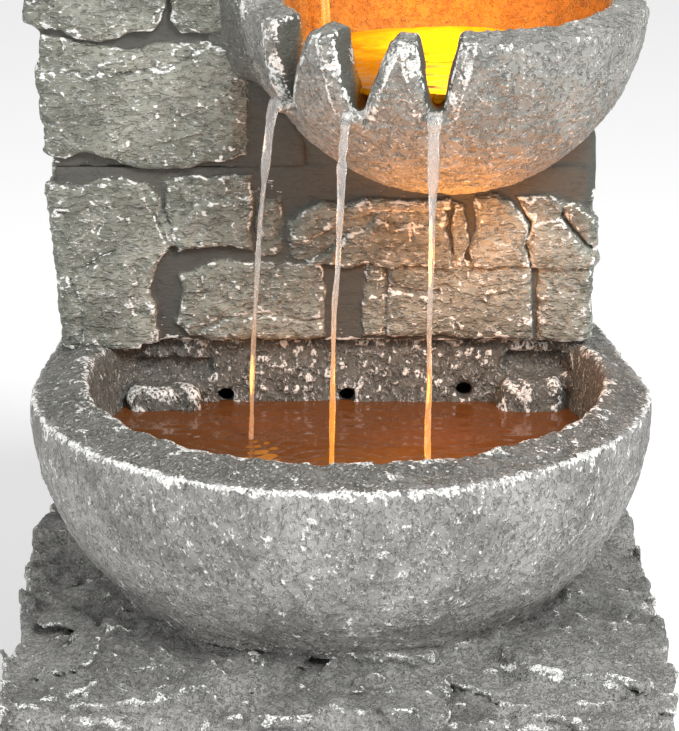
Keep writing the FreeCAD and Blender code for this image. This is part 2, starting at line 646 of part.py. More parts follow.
# ---------------------------------------------------------------- lamps and wiring

def lamp_body(name, x, y, low, stem_from=None):
    """A sealed puck with a well for the light board."""
    puck = rod(name + "_puck", "lamp", x, y, (low, f"{low}+lamp_tall"))
    well = rod(name + "_well", "lens", x, y, (f"{low}+3", f"{low}+lamp_tall+1"))
    cup = cut(name + "_cup", puck, well)
    if stem_from:
        cup = fuse(name + "_stemmed", cup, rod(name + "_stem", "stem", x, y, (stem_from, f"{low}+1")))
    node(name, cup)


def lamp_lens(name, x, y, low):
    node(name, rod(name, "lens", x, y, (f"{low}+lamp_tall-lens_tall", f"{low}+lamp_tall")))


def lamp_board(name, x, y, low):
    disc = rod(name + "_disc", "lens-1", x, y, (f"{low}+3", f"{low}+4.6"))
    chips = [rod(f"{name}_chip_{i}", 2, f"{x}+{dx}", f"{y}+{dy}", (f"{low}+4", f"{low}+6"))
             for i, (dx, dy) in enumerate([(7, 0), (-7, 0), (0, 7), (0, -7)])]
    node(name, fuse(name, disc, *chips))


MID_LAMP = (*MID_AXIS, "mid_rim-mid_deep+lamp_seat")
BASIN_LAMP = ("lamp_x", "lamp_y", "basin_floor")


def mid_lamp_nut():
    nut = hexagon("mid_hex", 11, *MID_AXIS, ("wall_top-18", "wall_top-12"))
    node("mid_lamp_nut", cut("mid_lamp_nut", nut, rod("mid_nut_way", "stem", *MID_AXIS,
                                                      ("wall_top-30", "wall_top"))))


BASIN_LEAD = [(18, 6, 147), (19, 38, 150), (24, 72, 158), (24, 112, 158), (38, 128, 194), (60, 134, 232),
              (74, 146, 260), (80, 149, 281)]
MID_LEAD = [(63, 95.5, 332), (63, 95.5, 311), (74, 106, 296), (90, 122, 292), (92, 136.5, 292)]
PUMP_LEAD = [(-6, 127, 186), (14, 127, 190), (32, 131, 213), (46, 137, 244), (60, 143, 272),
             (75, 148.5, 292)]


JUNCTION_WIDTH = ("junction_x-junction_half", "junction_x+junction_half")
JUNCTION_DEPTH = ("wall_back-wall_skin-junction_deep", "wall_back-wall_skin")


def junction_box():
    case = box("junction_case", JUNCTION_WIDTH, JUNCTION_DEPTH, ("junction_z-14", "junction_z+14"))
    inside = box("junction_inside", ("junction_x-junction_half+2.5", "junction_x+junction_half-2.5"),
                 ("wall_back-wall_skin-junction_deep+2", "wall_back-wall_skin-2.5"),
                 ("junction_z-11.5", "junction_z+15"))
    way = rod("junction_way", 6, "junction_x", ("wall_back-wall_skin-3", "wall_back-wall_skin+1"),
              "junction_z")
    node("junction_box", cut("junction_box", case, inside, way))


def junction_lid():
    node("junction_lid", box("junction_lid", JUNCTION_WIDTH, JUNCTION_DEPTH,
                             ("junction_z+14", "junction_z+17")))


def inlet_gland():
    dome = rod("gland_dome", "gland", "junction_x", ("wall_back-8", "wall_back-0.5"), "junction_z")
    thread = rod("gland_thread", 6, "junction_x", ("wall_back-wall_skin-2.5", "wall_back-7"), "junction_z")
    bore = rod("gland_bore", 3, "junction_x", ("wall_back-wall_skin-5", "wall_back+1"), "junction_z")
    node("inlet_gland", cut("inlet_gland", fuse("gland_solid", dome, thread), bore))


def lead_grommet():
    node("lead_grommet", ring("lead_grommet", 5, "lead+0.4", "lamp_x+6",
                              ("screen_front", "screen_front+screen_thick"), 158))


def drain_plug():
    stem = rod("plug_stem", "plug", "plug_x", ("wall_back-basin_skin", "wall_back-4"), "plug_z")
    head = rod("plug_cap", "plug_head", "plug_x", ("wall_back-4.5", "wall_back-0.5"), "plug_z")
    slot = box("plug_slot", ("plug_x-9", "plug_x+9"), ("wall_back-2", "wall_back+1"),
               ("plug_z-1.2", "plug_z+1.2"))
    node("drain_plug", cut("drain_plug", fuse("plug_solid", stem, head), slot))


def plug_seal():
    node("plug_seal", ring("plug_seal", "plug_head-1", "plug", "plug_x",
                           ("wall_back-5.7", "wall_back-4.5"), "plug_z"))


# ---------------------------------------------------------------- build, check and write

for build in (base_block, base_feet, basin_bolts, bolt_washers, lower_basin, wall_shell,
              middle_bowl, top_bowl, access_door, door_gasket, door_screws, door_inserts,
              pump_housing, pump_volute, impeller, impeller_shaft, intake_grille, flow_dial,
              pump_cups, hose_clamps, outlet_fitting, outlet_nut, outlet_washer, mid_lamp_nut,
              junction_box, junction_lid, inlet_gland, lead_grommet, drain_plug, plug_seal):
    build()
lamp_body("mid_lamp_body", *MID_LAMP, stem_from="wall_top-20")
lamp_lens("mid_lamp_lens", *MID_LAMP)
lamp_board("mid_lamp_board", *MID_LAMP)
lamp_body("basin_lamp_body", *BASIN_LAMP)
lamp_lens("basin_lamp_lens", *BASIN_LAMP)
lamp_board("basin_lamp_board", *BASIN_LAMP)
sleeve("supply_hose", HOSE_ROUTE, "hose", "spigot")
sleeve("basin_lamp_lead", BASIN_LEAD, "lead")
sleeve("mid_lamp_lead", MID_LEAD, "lead")
sleeve("pump_lead", PUMP_LEAD, "lead")

doc.recompute()
broken = [thing.Name for thing in doc.Objects if {"Invalid", "Error"} & set(thing.State)]
if broken:
    raise RuntimeError(f"features that failed: {broken}")
os.makedirs("parts", exist_ok=True)
for name, thing in NODES.items():
    shape = thing.Shape
    if shape.isNull() or not shape.isValid() or not shape.Solids:
        raise RuntimeError(f"{name} has no sound shape")
    shape.exportStep(f"parts/{name}.step")
print(len(NODES), "nodes written")
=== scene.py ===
import json
import math

import bpy
import numpy as np
import openvdb
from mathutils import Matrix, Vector


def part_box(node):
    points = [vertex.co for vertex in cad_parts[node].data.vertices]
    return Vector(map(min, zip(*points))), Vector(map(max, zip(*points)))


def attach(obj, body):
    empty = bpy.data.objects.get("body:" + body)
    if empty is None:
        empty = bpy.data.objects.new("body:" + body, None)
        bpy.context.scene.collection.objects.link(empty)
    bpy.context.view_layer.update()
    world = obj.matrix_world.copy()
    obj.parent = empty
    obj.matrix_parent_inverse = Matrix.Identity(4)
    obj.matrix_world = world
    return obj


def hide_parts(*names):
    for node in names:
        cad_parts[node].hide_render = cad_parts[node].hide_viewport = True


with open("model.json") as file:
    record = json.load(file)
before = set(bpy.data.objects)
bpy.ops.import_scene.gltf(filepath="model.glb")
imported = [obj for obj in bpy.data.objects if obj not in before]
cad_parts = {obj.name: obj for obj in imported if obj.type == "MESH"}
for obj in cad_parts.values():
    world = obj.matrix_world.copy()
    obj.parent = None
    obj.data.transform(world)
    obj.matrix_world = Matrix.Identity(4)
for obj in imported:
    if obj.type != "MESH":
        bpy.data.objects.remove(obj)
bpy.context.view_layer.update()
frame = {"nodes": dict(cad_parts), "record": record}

# ---------------------------------------------------------------- pedestal
# The pedestal is a hollow casting of resin-bound stone, open underneath. Its faces are broken
# rock: lumpy, ridged and dry-brushed with pale paint on everything that stands proud.

MM = 0.001


def corners(node):
    """A node's lowest and highest corners in millimetres."""
    low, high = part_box(node)
    return np.array(low) / MM, np.array(high) / MM


def soft_min(a, b, blend):
    h = np.maximum(blend - np.abs(a - b), 0) / blend
    return np.minimum(a, b) - h * h * blend / 4


def soft_max(a, b, blend):
    return -soft_min(-a, -b, blend)


DICE = np.random.default_rng(7).uniform(-1, 1, 1 << 16)


def lumps(x, y, z, size, seed=0):
    """Smooth random field from -1 to 1 with lumps of about this size."""
    x, y, z = x / size + seed * 17.3, y / size + seed * 5.1, z / size - seed * 9.7
    cell = [np.floor(value).astype(np.int64) for value in (x, y, z)]
    part = [value - whole for value, whole in zip((x, y, z), cell)]
    u, v, w = [value * value * (3 - 2 * value) for value in part]
    a = [cell[0] * 73856093, (cell[0] + 1) * 73856093]
    b = [cell[1] * 19349663, (cell[1] + 1) * 19349663]
    c = [cell[2] * 83492791, (cell[2] + 1) * 83492791]

    def row(q, r):
        near = DICE[(a[0] ^ b[q] ^ c[r]) & 0xffff]
        far = DICE[(a[1] ^ b[q] ^ c[r]) & 0xffff]
        return near + (far - near) * u

    low = row(0, 0) + (row(1, 0) - row(0, 0)) * v
    high = row(0, 1) + (row(1, 1) - row(0, 1)) * v
    return low + (high - low) * w


def crumbs(x, y, z, size, octaves, seed=0):
    """Several sizes of lumps on top of each other."""
    total, weight = 0, 1.0
    for octave in range(octaves):
        total = total + weight * lumps(x, y, z, size / 2 ** octave, seed + octave)
        weight *= 0.55
    return total


def ridges(x, y, z, size, seed=0):
    """Sharp crests between rounded hollows, from 0 to 1."""
    return 1 - np.minimum(np.abs(lumps(x, y, z, size, seed)) * 2.4, 1)


def facets(x, y, z, size, seed=0):
    """Broken faces, each at its own height and tilt, and how far each spot is from a crease."""
    place = [value / size for value in (x, y, z)]
    home = [np.floor(value).astype(np.int64) for value in place]
    best, second = np.full(place[0].shape, 9.0), np.full(place[0].shape, 9.0)
    height = np.zeros(place[0].shape)
    for around in np.ndindex(3, 3, 3):
        cell = [whole + step - 1 for whole, step in zip(home, around)]
        pick = cell[0] * 73856093 ^ cell[1] * 19349663 ^ cell[2] * 83492791 ^ seed * 2971
        draw = [DICE[(pick + 7919 * k) & 0xffff] for k in range(7)]
        gap = [whole + 0.5 + 0.42 * draw[k] - value for k, (whole, value) in enumerate(zip(cell, place))]
        away = gap[0] ** 2 + gap[1] ** 2 + gap[2] ** 2
        face = 0.5 * draw[3] + 0.8 * (gap[0] * draw[4] + gap[1] * draw[5] + gap[2] * draw[6])
        nearer = away < best
        second = np.where(nearer, best, np.minimum(second, away))
        height = np.where(nearer, face, height)
        best = np.minimum(best, away)
    return height, np.sqrt(second) - np.sqrt(best)


def block(x, y, z, low, high, rounding=0.0):
    """Distance to a box with rounded edges."""
    gaps = [np.abs(value - (a + b) / 2) - (b - a) / 2 + rounding
            for value, a, b in zip((x, y, z), low, high)]
    outside = np.sqrt(sum(np.maximum(gap, 0) ** 2 for gap in gaps))
    return outside + np.minimum(np.maximum(np.maximum(gaps[0], gaps[1]), gaps[2]), 0) - rounding


def slab(x, y, low, high, rounding):
    """Distance to a rounded rectangle in plan."""
    gap_x = np.abs(x - (low[0] + high[0]) / 2) - (high[0] - low[0]) / 2 + rounding
    gap_y = np.abs(y - (low[1] + high[1]) / 2) - (high[1] - low[1]) / 2 + rounding
    outside = np.sqrt(np.maximum(gap_x, 0) ** 2 + np.maximum(gap_y, 0) ** 2)
    return outside + np.minimum(np.maximum(gap_x, gap_y), 0) - rounding


def ball_gap(x, y, z, centre, ball):
    """Distance to a ball from its centre in plan and its (radius, height of the centre)."""
    return np.sqrt((x - centre[0]) ** 2 + (y - centre[1]) ** 2 + (z - ball[1]) ** 2) - ball[0]


def grid(low, high, step):
    """The three axes of a sampling grid, shaped so that they spread against each other."""
    axes = [np.arange(a - 3 * step, b + 4 * step, step) for a, b in zip(low, high)]
    return axes[0][:, None, None], axes[1][None, :, None], axes[2][None, None, :]


def roughen(field, place, reach, relief):
    """Add relief to a distance field, worked out only near its surface."""
    i, j, k = np.nonzero((field < reach[1]) & (field > -reach[0]))
    x, y, z = place
    field[i, j, k] += relief(x[i, 0, 0], y[0, j, 0], z[0, 0, k])
    return field


def placed(name, data):
    """Put a mesh, light or camera into the scene as an object."""
    thing = bpy.data.objects.new(name, data)
    bpy.context.collection.objects.link(thing)
    return thing


def smooth_sheet(name, points, faces):
    """An object with smooth shading from points in metres."""
    mesh = bpy.data.meshes.new(name)
    mesh.from_pydata(points, [], faces)
    mesh.shade_smooth()
    return placed(name, mesh)


def meshed(name, field, place, step, merge=0.0):
    """Skin the zero surface of a distance field as a Blender object, in metres."""
    volume = openvdb.FloatGrid(4.0 * step)
    volume.copyFromArray(np.clip(field, -3 * step, 3 * step).astype(np.float32))
    points, triangles, quads = volume.convertToPolygons(0.0, merge)
    start = np.array([axis.ravel()[0] for axis in place])
    points = points * step + start
    mesh = bpy.data.meshes.new(name)
    mesh.from_pydata((points * MM).tolist(), [], quads.tolist() + triangles.tolist())
    mesh.validate()
    mesh.shade_smooth()
    return placed(name, mesh), points


def mark(thing, **layers):
    """Store how worn, how deep or how darkened each point is, and where lamp glow is painted, for the paint
    to follow; the darkening is partly painted shade.
    """
    for layer, values in layers.items():
        store = thing.data.attributes.new(layer, "FLOAT", "POINT")
        store.data.foreach_set("value", np.clip(values, 0, 1).astype(np.float32))


def step_up(value, low, high):
    part = np.clip((value - low) / (high - low), 0, 1)
    return part * part * (3 - 2 * part)


def standing_proud(thing, points, rounds=4):
    """How far each point stands out from its surroundings, in millimetres; hollows are negative."""
    ends = np.empty(2 * len(thing.data.edges), np.int32)
    thing.data.edges.foreach_get("vertices", ends)
    a, b = ends[0::2], ends[1::2]
    size = len(points)
    count = np.maximum(np.bincount(a, minlength=size) + np.bincount(b, minlength=size), 1)
    level = points.copy()
    for _ in range(rounds):
        level = np.stack([(np.bincount(a, level[b, k], size) + np.bincount(b, level[a, k], size)) / count
                          for k in range(3)], 1)
    normals = np.empty(3 * size, np.float32)
    thing.data.vertices.foreach_get("normal", normals)
    return ((points - level) * normals.reshape(-1, 3)).sum(1)


def weather(thing, points, worn, damp, joint, brushed=0.8, at=(0.12, 0.5), where=1.0, stain=0.0):
    """Brush pale paint over what stands proud, and darken the hollows as painted shade."""
    proud = standing_proud(thing, points)
    px, py, pz = points.T
    fray = crumbs(px, py, pz, 9, 3, 301)
    brushed = step_up(proud * (1 + 0.7 * fray), *at) * brushed * step_up(fray, -0.9, 0.25)
    # Painted shade: hollows in the mesh are darkened.
    sunk = step_up(-proud, at[0] * 0.7, at[1] * 1.2) * 0.75
    mark(thing, edge=np.maximum(worn, brushed * where), damp=np.maximum(damp, sunk), joint=joint,
         stain=stain + 0 * px)


def wire(tree, kind, inputs=None, **settings):
    """Add a shader node; an input may be a plain value or another node's output."""
    made = tree.nodes.new("ShaderNode" + kind)
    for name, value in settings.items():
        setattr(made, name, value)
    for key, value in (inputs or {}).items():
        if isinstance(value, bpy.types.NodeSocket):
            tree.links.new(value, made.inputs[key])
        else:
            made.inputs[key].default_value = value
    return made


def sums(tree, operation, a, b=0.5, c=None):
    inputs = {0: a, 1: b}
    if c is not None:
        inputs[2] = c
    return wire(tree, "Math", inputs, operation=operation).outputs[0]


def band(tree, value, low, high, to_low=0.0, to_high=1.0):
    return wire(tree, "MapRange", {0: value, 1: low, 2: high, 3: to_low, 4: to_high},
                interpolation_type="SMOOTHSTEP").outputs[0]


def blend_colour(tree, amount, a, b, kind="MIX"):
    return wire(tree, "Mix", {0: amount, 6: a, 7: b}, data_type="RGBA", blend_type=kind).outputs[2]


def cloud(tree, where, scale, detail=3.0, twist=0.0, rough=0.5):
    return wire(tree, "TexNoise", {"Vector": where, "Scale": scale, "Detail": detail, "Distortion": twist,
                                   "Roughness": rough}).outputs[0]


def group(name, inputs, outputs):
    """An empty node group with named colour and number sockets."""
    tree = bpy.data.node_groups.new(name, "ShaderNodeTree")
    for socket, value in inputs.items():
        kind = "NodeSocketColor" if isinstance(value, tuple) else "NodeSocketFloat"
        made = tree.interface.new_socket(name=socket, in_out="INPUT", socket_type=kind)
        made.default_value = value
    for socket, kind in outputs.items():
        tree.interface.new_socket(name=socket, in_out="OUTPUT", socket_type="NodeSocket" + kind)
    return tree, tree.nodes.new("NodeGroupInput").outputs, tree.nodes.new("NodeGroupOutput").inputs


def new_paint(name):
    """A material with its node tree and its main shader."""
    material = bpy.data.materials.new(name)
    material.use_nodes = True
    return material, material.node_tree, material.node_tree.nodes["Principled BSDF"]


def dress(tree, skin, colour, roughness, height, depth, strength=1.0):
    """Link a finish's colour, roughness and relief to its shader."""
    bump = wire(tree, "Bump", {"Strength": strength, "Distance": depth, "Height": height})
    tree.links.new(colour, skin.inputs["Base Color"])
    tree.links.new(roughness, skin.inputs["Roughness"])
    tree.links.new(bump.outputs[0], skin.inputs["Normal"])


def cast_rock_group():
    """Grey cast rock: mottled body, short raised squiggles with painted shade in the hollows beside them and
    in the pits, and pale paint dragged over the squiggles, partly painted highlight, and over the worn
    edges. Joints stay smooth and darker."""
    tree, given, out = group("cast_rock", {
        "Body": (0.25, 0.25, 0.23, 1), "Shade": (0.13, 0.13, 0.12, 1), "Brush": (0.80, 0.80, 0.77, 1),
        "Joint tint": (0.085, 0.09, 0.085, 1), "Edge": 0.0, "Joint": 0.0, "Damp": 0.0, "Stain": 0.0,
        "Brush_and_highlight": 0.6,
        "Grain along": 1.0, "Grain up": 1.0}, {"Color": "Color", "Roughness": "Float", "Height": "Float"})
    here = wire(tree, "TexCoord").outputs["Object"]

    def times(a, b):
        return sums(tree, "MULTIPLY", a, b)

    pull = wire(tree, "CombineXYZ", {0: given["Grain along"], 1: given["Grain along"], 2: given["Grain up"]})
    where = wire(tree, "VectorMath", {0: here, 1: pull.outputs[0]}, operation="MULTIPLY").outputs[0]
    broad = cloud(tree, here, 20.0, 4.0)
    patch = cloud(tree, here, 65.0, 3.0, 0.5)
    squiggle = cloud(tree, where, 235.0, 2.5, 1.3, 0.5)
    crest = sums(tree, "ABSOLUTE", sums(tree, "SUBTRACT", squiggle, 0.54))
    broken = band(tree, cloud(tree, where, 260.0, 2.0), 0.47, 0.58)
    crest = times(band(tree, crest, 0.0, 0.045, 1.0, 0.0), broken)
    hollow = band(tree, squiggle, 0.34, 0.47, 1.0, 0.0)
    fine = cloud(tree, where, 560.0, 3.0, 0.3)
    speck = band(tree, fine, 0.58, 0.68)
    pits = band(tree, fine, 0.32, 0.42, 1.0, 0.0)
    calm = sums(tree, "SUBTRACT", 1.0, given["Joint"])
    body = blend_colour(tree, band(tree, broad, 0.35, 0.65), given["Shade"], given["Body"])
    body = blend_colour(tree, times(band(tree, patch, 0.42, 0.62), 0.35), body, given["Body"])
    # Painted shade: the hollows beside the squiggles and the pits are darkened, deepest where both meet.
    dark = times(sums(tree, "MAXIMUM", times(pits, 0.65), hollow), 0.62)
    body = blend_colour(tree, dark, body, given["Shade"])
    body = blend_colour(tree, times(times(hollow, pits), times(calm, 0.75)), body, (0.03, 0.03, 0.028, 1))
    # Darkening layer: partly painted shade (mesh hollows, the fillet where a bowl meets the tower), partly
    # darker bands on tops, rims and inside the pool.
    darkening_amount = times(given["Damp"], band(tree, patch, 0.25, 0.6, 0.75, 1.0))
    darkening_tint = blend_colour(tree, pits, given["Joint tint"], (0.05, 0.05, 0.045, 1))
    body = blend_colour(tree, darkening_amount, body, darkening_tint)
    body = blend_colour(tree, given["Joint"], body, given["Joint tint"])
    # The pale crests and specks are partly dry-brushed paint and partly painted highlight.
    crest_paint_and_highlight = times(sums(tree, "MAXIMUM", crest, times(speck, 0.5)), calm)
    crest_paint_and_highlight = times(crest_paint_and_highlight, band(tree, patch, 0.34, 0.60, 0.35, 1.0))
    frayed = sums(tree, "ADD", given["Edge"], times(sums(tree, "SUBTRACT", fine, 0.5), 1.9))
    frayed = times(band(tree, frayed, 0.38, 0.66), band(tree, given["Edge"], 0.03, 0.2))
    paint = sums(tree, "MAXIMUM", times(crest_paint_and_highlight, given["Brush_and_highlight"]), times(frayed, 0.92))
    painted = blend_colour(tree, paint, body, given["Brush"])
    # Painted lamp glow: the amber colour stands in for lamp light on the rock.
    amber = blend_colour(tree, band(tree, patch, 0.3, 0.7), (0.30, 0.115, 0.006, 1), (0.42, 0.17, 0.010, 1))
    tree.links.new(blend_colour(tree, given["Stain"], painted, amber), out["Color"])
    tree.links.new(band(tree, fine, 0.3, 0.7, 0.66, 0.95), out["Roughness"])
    height = sums(tree, "ADD", times(crest, 0.8), times(fine, 0.7))
    height = sums(tree, "SUBTRACT", height, times(hollow, 0.7))
    height = sums(tree, "ADD", height, times(patch, 0.8))
    tree.links.new(times(height, sums(tree, "ADD", times(calm, 0.85), 0.15)), out["Height"])
    return tree


CAST_ROCK = cast_rock_group()


def rock_paint(name, brush_and_highlight=0.6, along=1.0, up=1.0, relief=0.0016, **tints):
    """A painted rock finish built on the cast rock group."""
    material, tree, skin = new_paint(name)
    rock = tree.nodes.new("ShaderNodeGroup")
    rock.node_tree = CAST_ROCK
    rock.inputs["Brush_and_highlight"].default_value = brush_and_highlight
    rock.inputs["Grain along"].default_value = along
    rock.inputs["Grain up"].default_value = up
    for socket, value in tints.items():
        rock.inputs[socket.replace("_", " ").capitalize()].default_value = value
    for layer in ("edge", "joint", "damp", "stain"):
        store = wire(tree, "Attribute", attribute_name=layer)
        tree.links.new(store.outputs["Fac"], rock.inputs[layer.capitalize()])
    dress(tree, skin, rock.outputs["Color"], rock.outputs["Roughness"], rock.outputs["Height"], relief)
    skin.inputs["Specular IOR Level"].default_value = 0.35
    return material


def settle(thing, material, *nodes, slot="rock", body="fountain"):
    """Give a piece its finish and the body it belongs to, and hide the plain solids it stands for."""
    thing.data.materials.append(material)
    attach(thing, body)
    if nodes:
        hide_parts(*nodes)
    return thing


# Ledges broken across the top, as lines in plan from left to right and how deep each one drops.
LEDGES = [([(-188, -158), (-150, -161), (-110, -151), (-52, -147)], 4.5),
          ([(-172, -156), (-135, -140), (-88, -108)], 3.4),
          ([(48, -150), (110, -157), (188, -150)], 3.6),
          ([(84, -112), (128, -138), (180, -146)], 2.8)]


def ledge_gaps(px, py, pz):
    """For each ledge: how far behind its line a point is, and how present the ledge is there."""
    waver = 4 * crumbs(px, py, pz, 22, 3, 19)
    for line, deep in LEDGES:
        xs, ys = zip(*line)
        gap = py + waver - np.interp(px, xs, ys)
        yield gap, deep, step_up(px, xs[0], xs[0] + 10) * (1 - step_up(px, xs[-1] - 24, xs[-1]))


def pedestal():
    step = 2.0
    low, high = corners("base_block")
    place = grid(low, high + (0, 0, 5), step)
    x, y, z = place
    plan = slab(x, y, low, high, 20)
    crown = high[2] - 8 + 11 * step_up(plan, -10, -62)
    shape = soft_max(plan, z - crown, 6) + 0 * z

    def relief(px, py, pz):
        warp = 5 * crumbs(px, py, pz, 30, 2, 15)
        face, crease = facets(px + warp, py, (pz + warp) * 1.2, 46, 11)
        small, split = facets(px, py + warp * 0.5, pz * 1.3 + warp, 15, 12)
        upper = step_up(pz, high[2] - 22, high[2] - 8)
        rough = (4.6 + 3.4 * upper) * face + 1.5 * small
        rough = rough + 0.9 * ridges(px, py, pz, 7, 21) + 0.5 * ridges(px, py, pz, 4, 22)
        notch = 1.6 * (1 - step_up(crease, 0.0, 0.14)) * step_up(crumbs(px, py, pz, 50, 2, 16), -0.4, 0.3)
        pleat = ridges(px * 0.8 + py * 0.5, py - px * 0.3, pz * 0.5, 12, 18)
        pleat = 2.6 * pleat * upper
        for gap, deep, here in ledge_gaps(px, py, pz):
            drop = (1 - step_up(gap, -2.5, 0.5)) * step_up(gap, -36, -8)
            rough = rough - deep * drop * here + 1.0 * np.exp(-((gap - 1.5) / 1.6) ** 2) * here
        seam = 0.6 * (1 - step_up(split, 0.0, 0.14))
        return 1.2 - rough + notch - pleat + seam + 0.5 * lumps(px, py, pz, 5, 31)

    shape = roughen(shape, place, (10, 7), relief)
    shape = np.maximum(shape, low[2] - z)
    wall = 9
    hollow = slab(x, y, low + wall, high - wall, 15)
    hollow = np.maximum(hollow, z - (high[2] - wall - 17))
    shape = np.maximum(shape, -hollow)
    thing, points = meshed("pedestal_rock", shape, place, step, 0.01)
    top = step_up(points[:, 2], high[2] - 13, high[2] - 6)
    worn = 0 * top
    fray = crumbs(*points.T, 8, 2, 23)
    for gap, deep, here in ledge_gaps(*points.T):
        worn = np.maximum(worn, np.exp(-((gap - 0.4) / 1.5) ** 2) * here * top * (0.62 + 0.7 * fray))
    # The top band is painted darker.
    weather(thing, points, worn, top * 0.22, 0 * top, 0.62, (0.30, 1.1))
    return settle(thing, rock_paint("pedestal_paint", 0.55, 1.4, 1.4, body=(0.30, 0.295, 0.28, 1),
                                    shade=(0.15, 0.147, 0.14, 1)), "base_block")


pedestal()

# ---------------------------------------------------------------- lower basin
# The basin is one casting: a half-round bowl whose sides run straight back, with a sloped rim,
# a screen wall with three drain holes, two ledges, and the pump's well behind the screen.


def arc_of(out, rise):
    """Radius of an arc that swells this far out over this rise and ends upright."""
    return (out * out + rise * rise) / (2 * out)


BASIN_LOW, BASIN_HIGH = corners("lower_basin")
BASIN_WIDE = 184.0
BASIN_CENTRE = np.array([BASIN_HIGH[0] - BASIN_WIDE, BASIN_LOW[1] + BASIN_WIDE])
BASIN_FLOOR = 140.0
MOUTH = 152.5
SCREEN_FRONT = 82.5
SCREEN_THICK = 12.0
WELL_FRONT = SCREEN_FRONT + SCREEN_THICK - 4
WATER_BELOW_RIM = 42.0
BASIN_WATER = BASIN_HIGH[2] - WATER_BELOW_RIM
DRAINS = ((-70, 215), (4.6, 215), (76.6, 218.5))


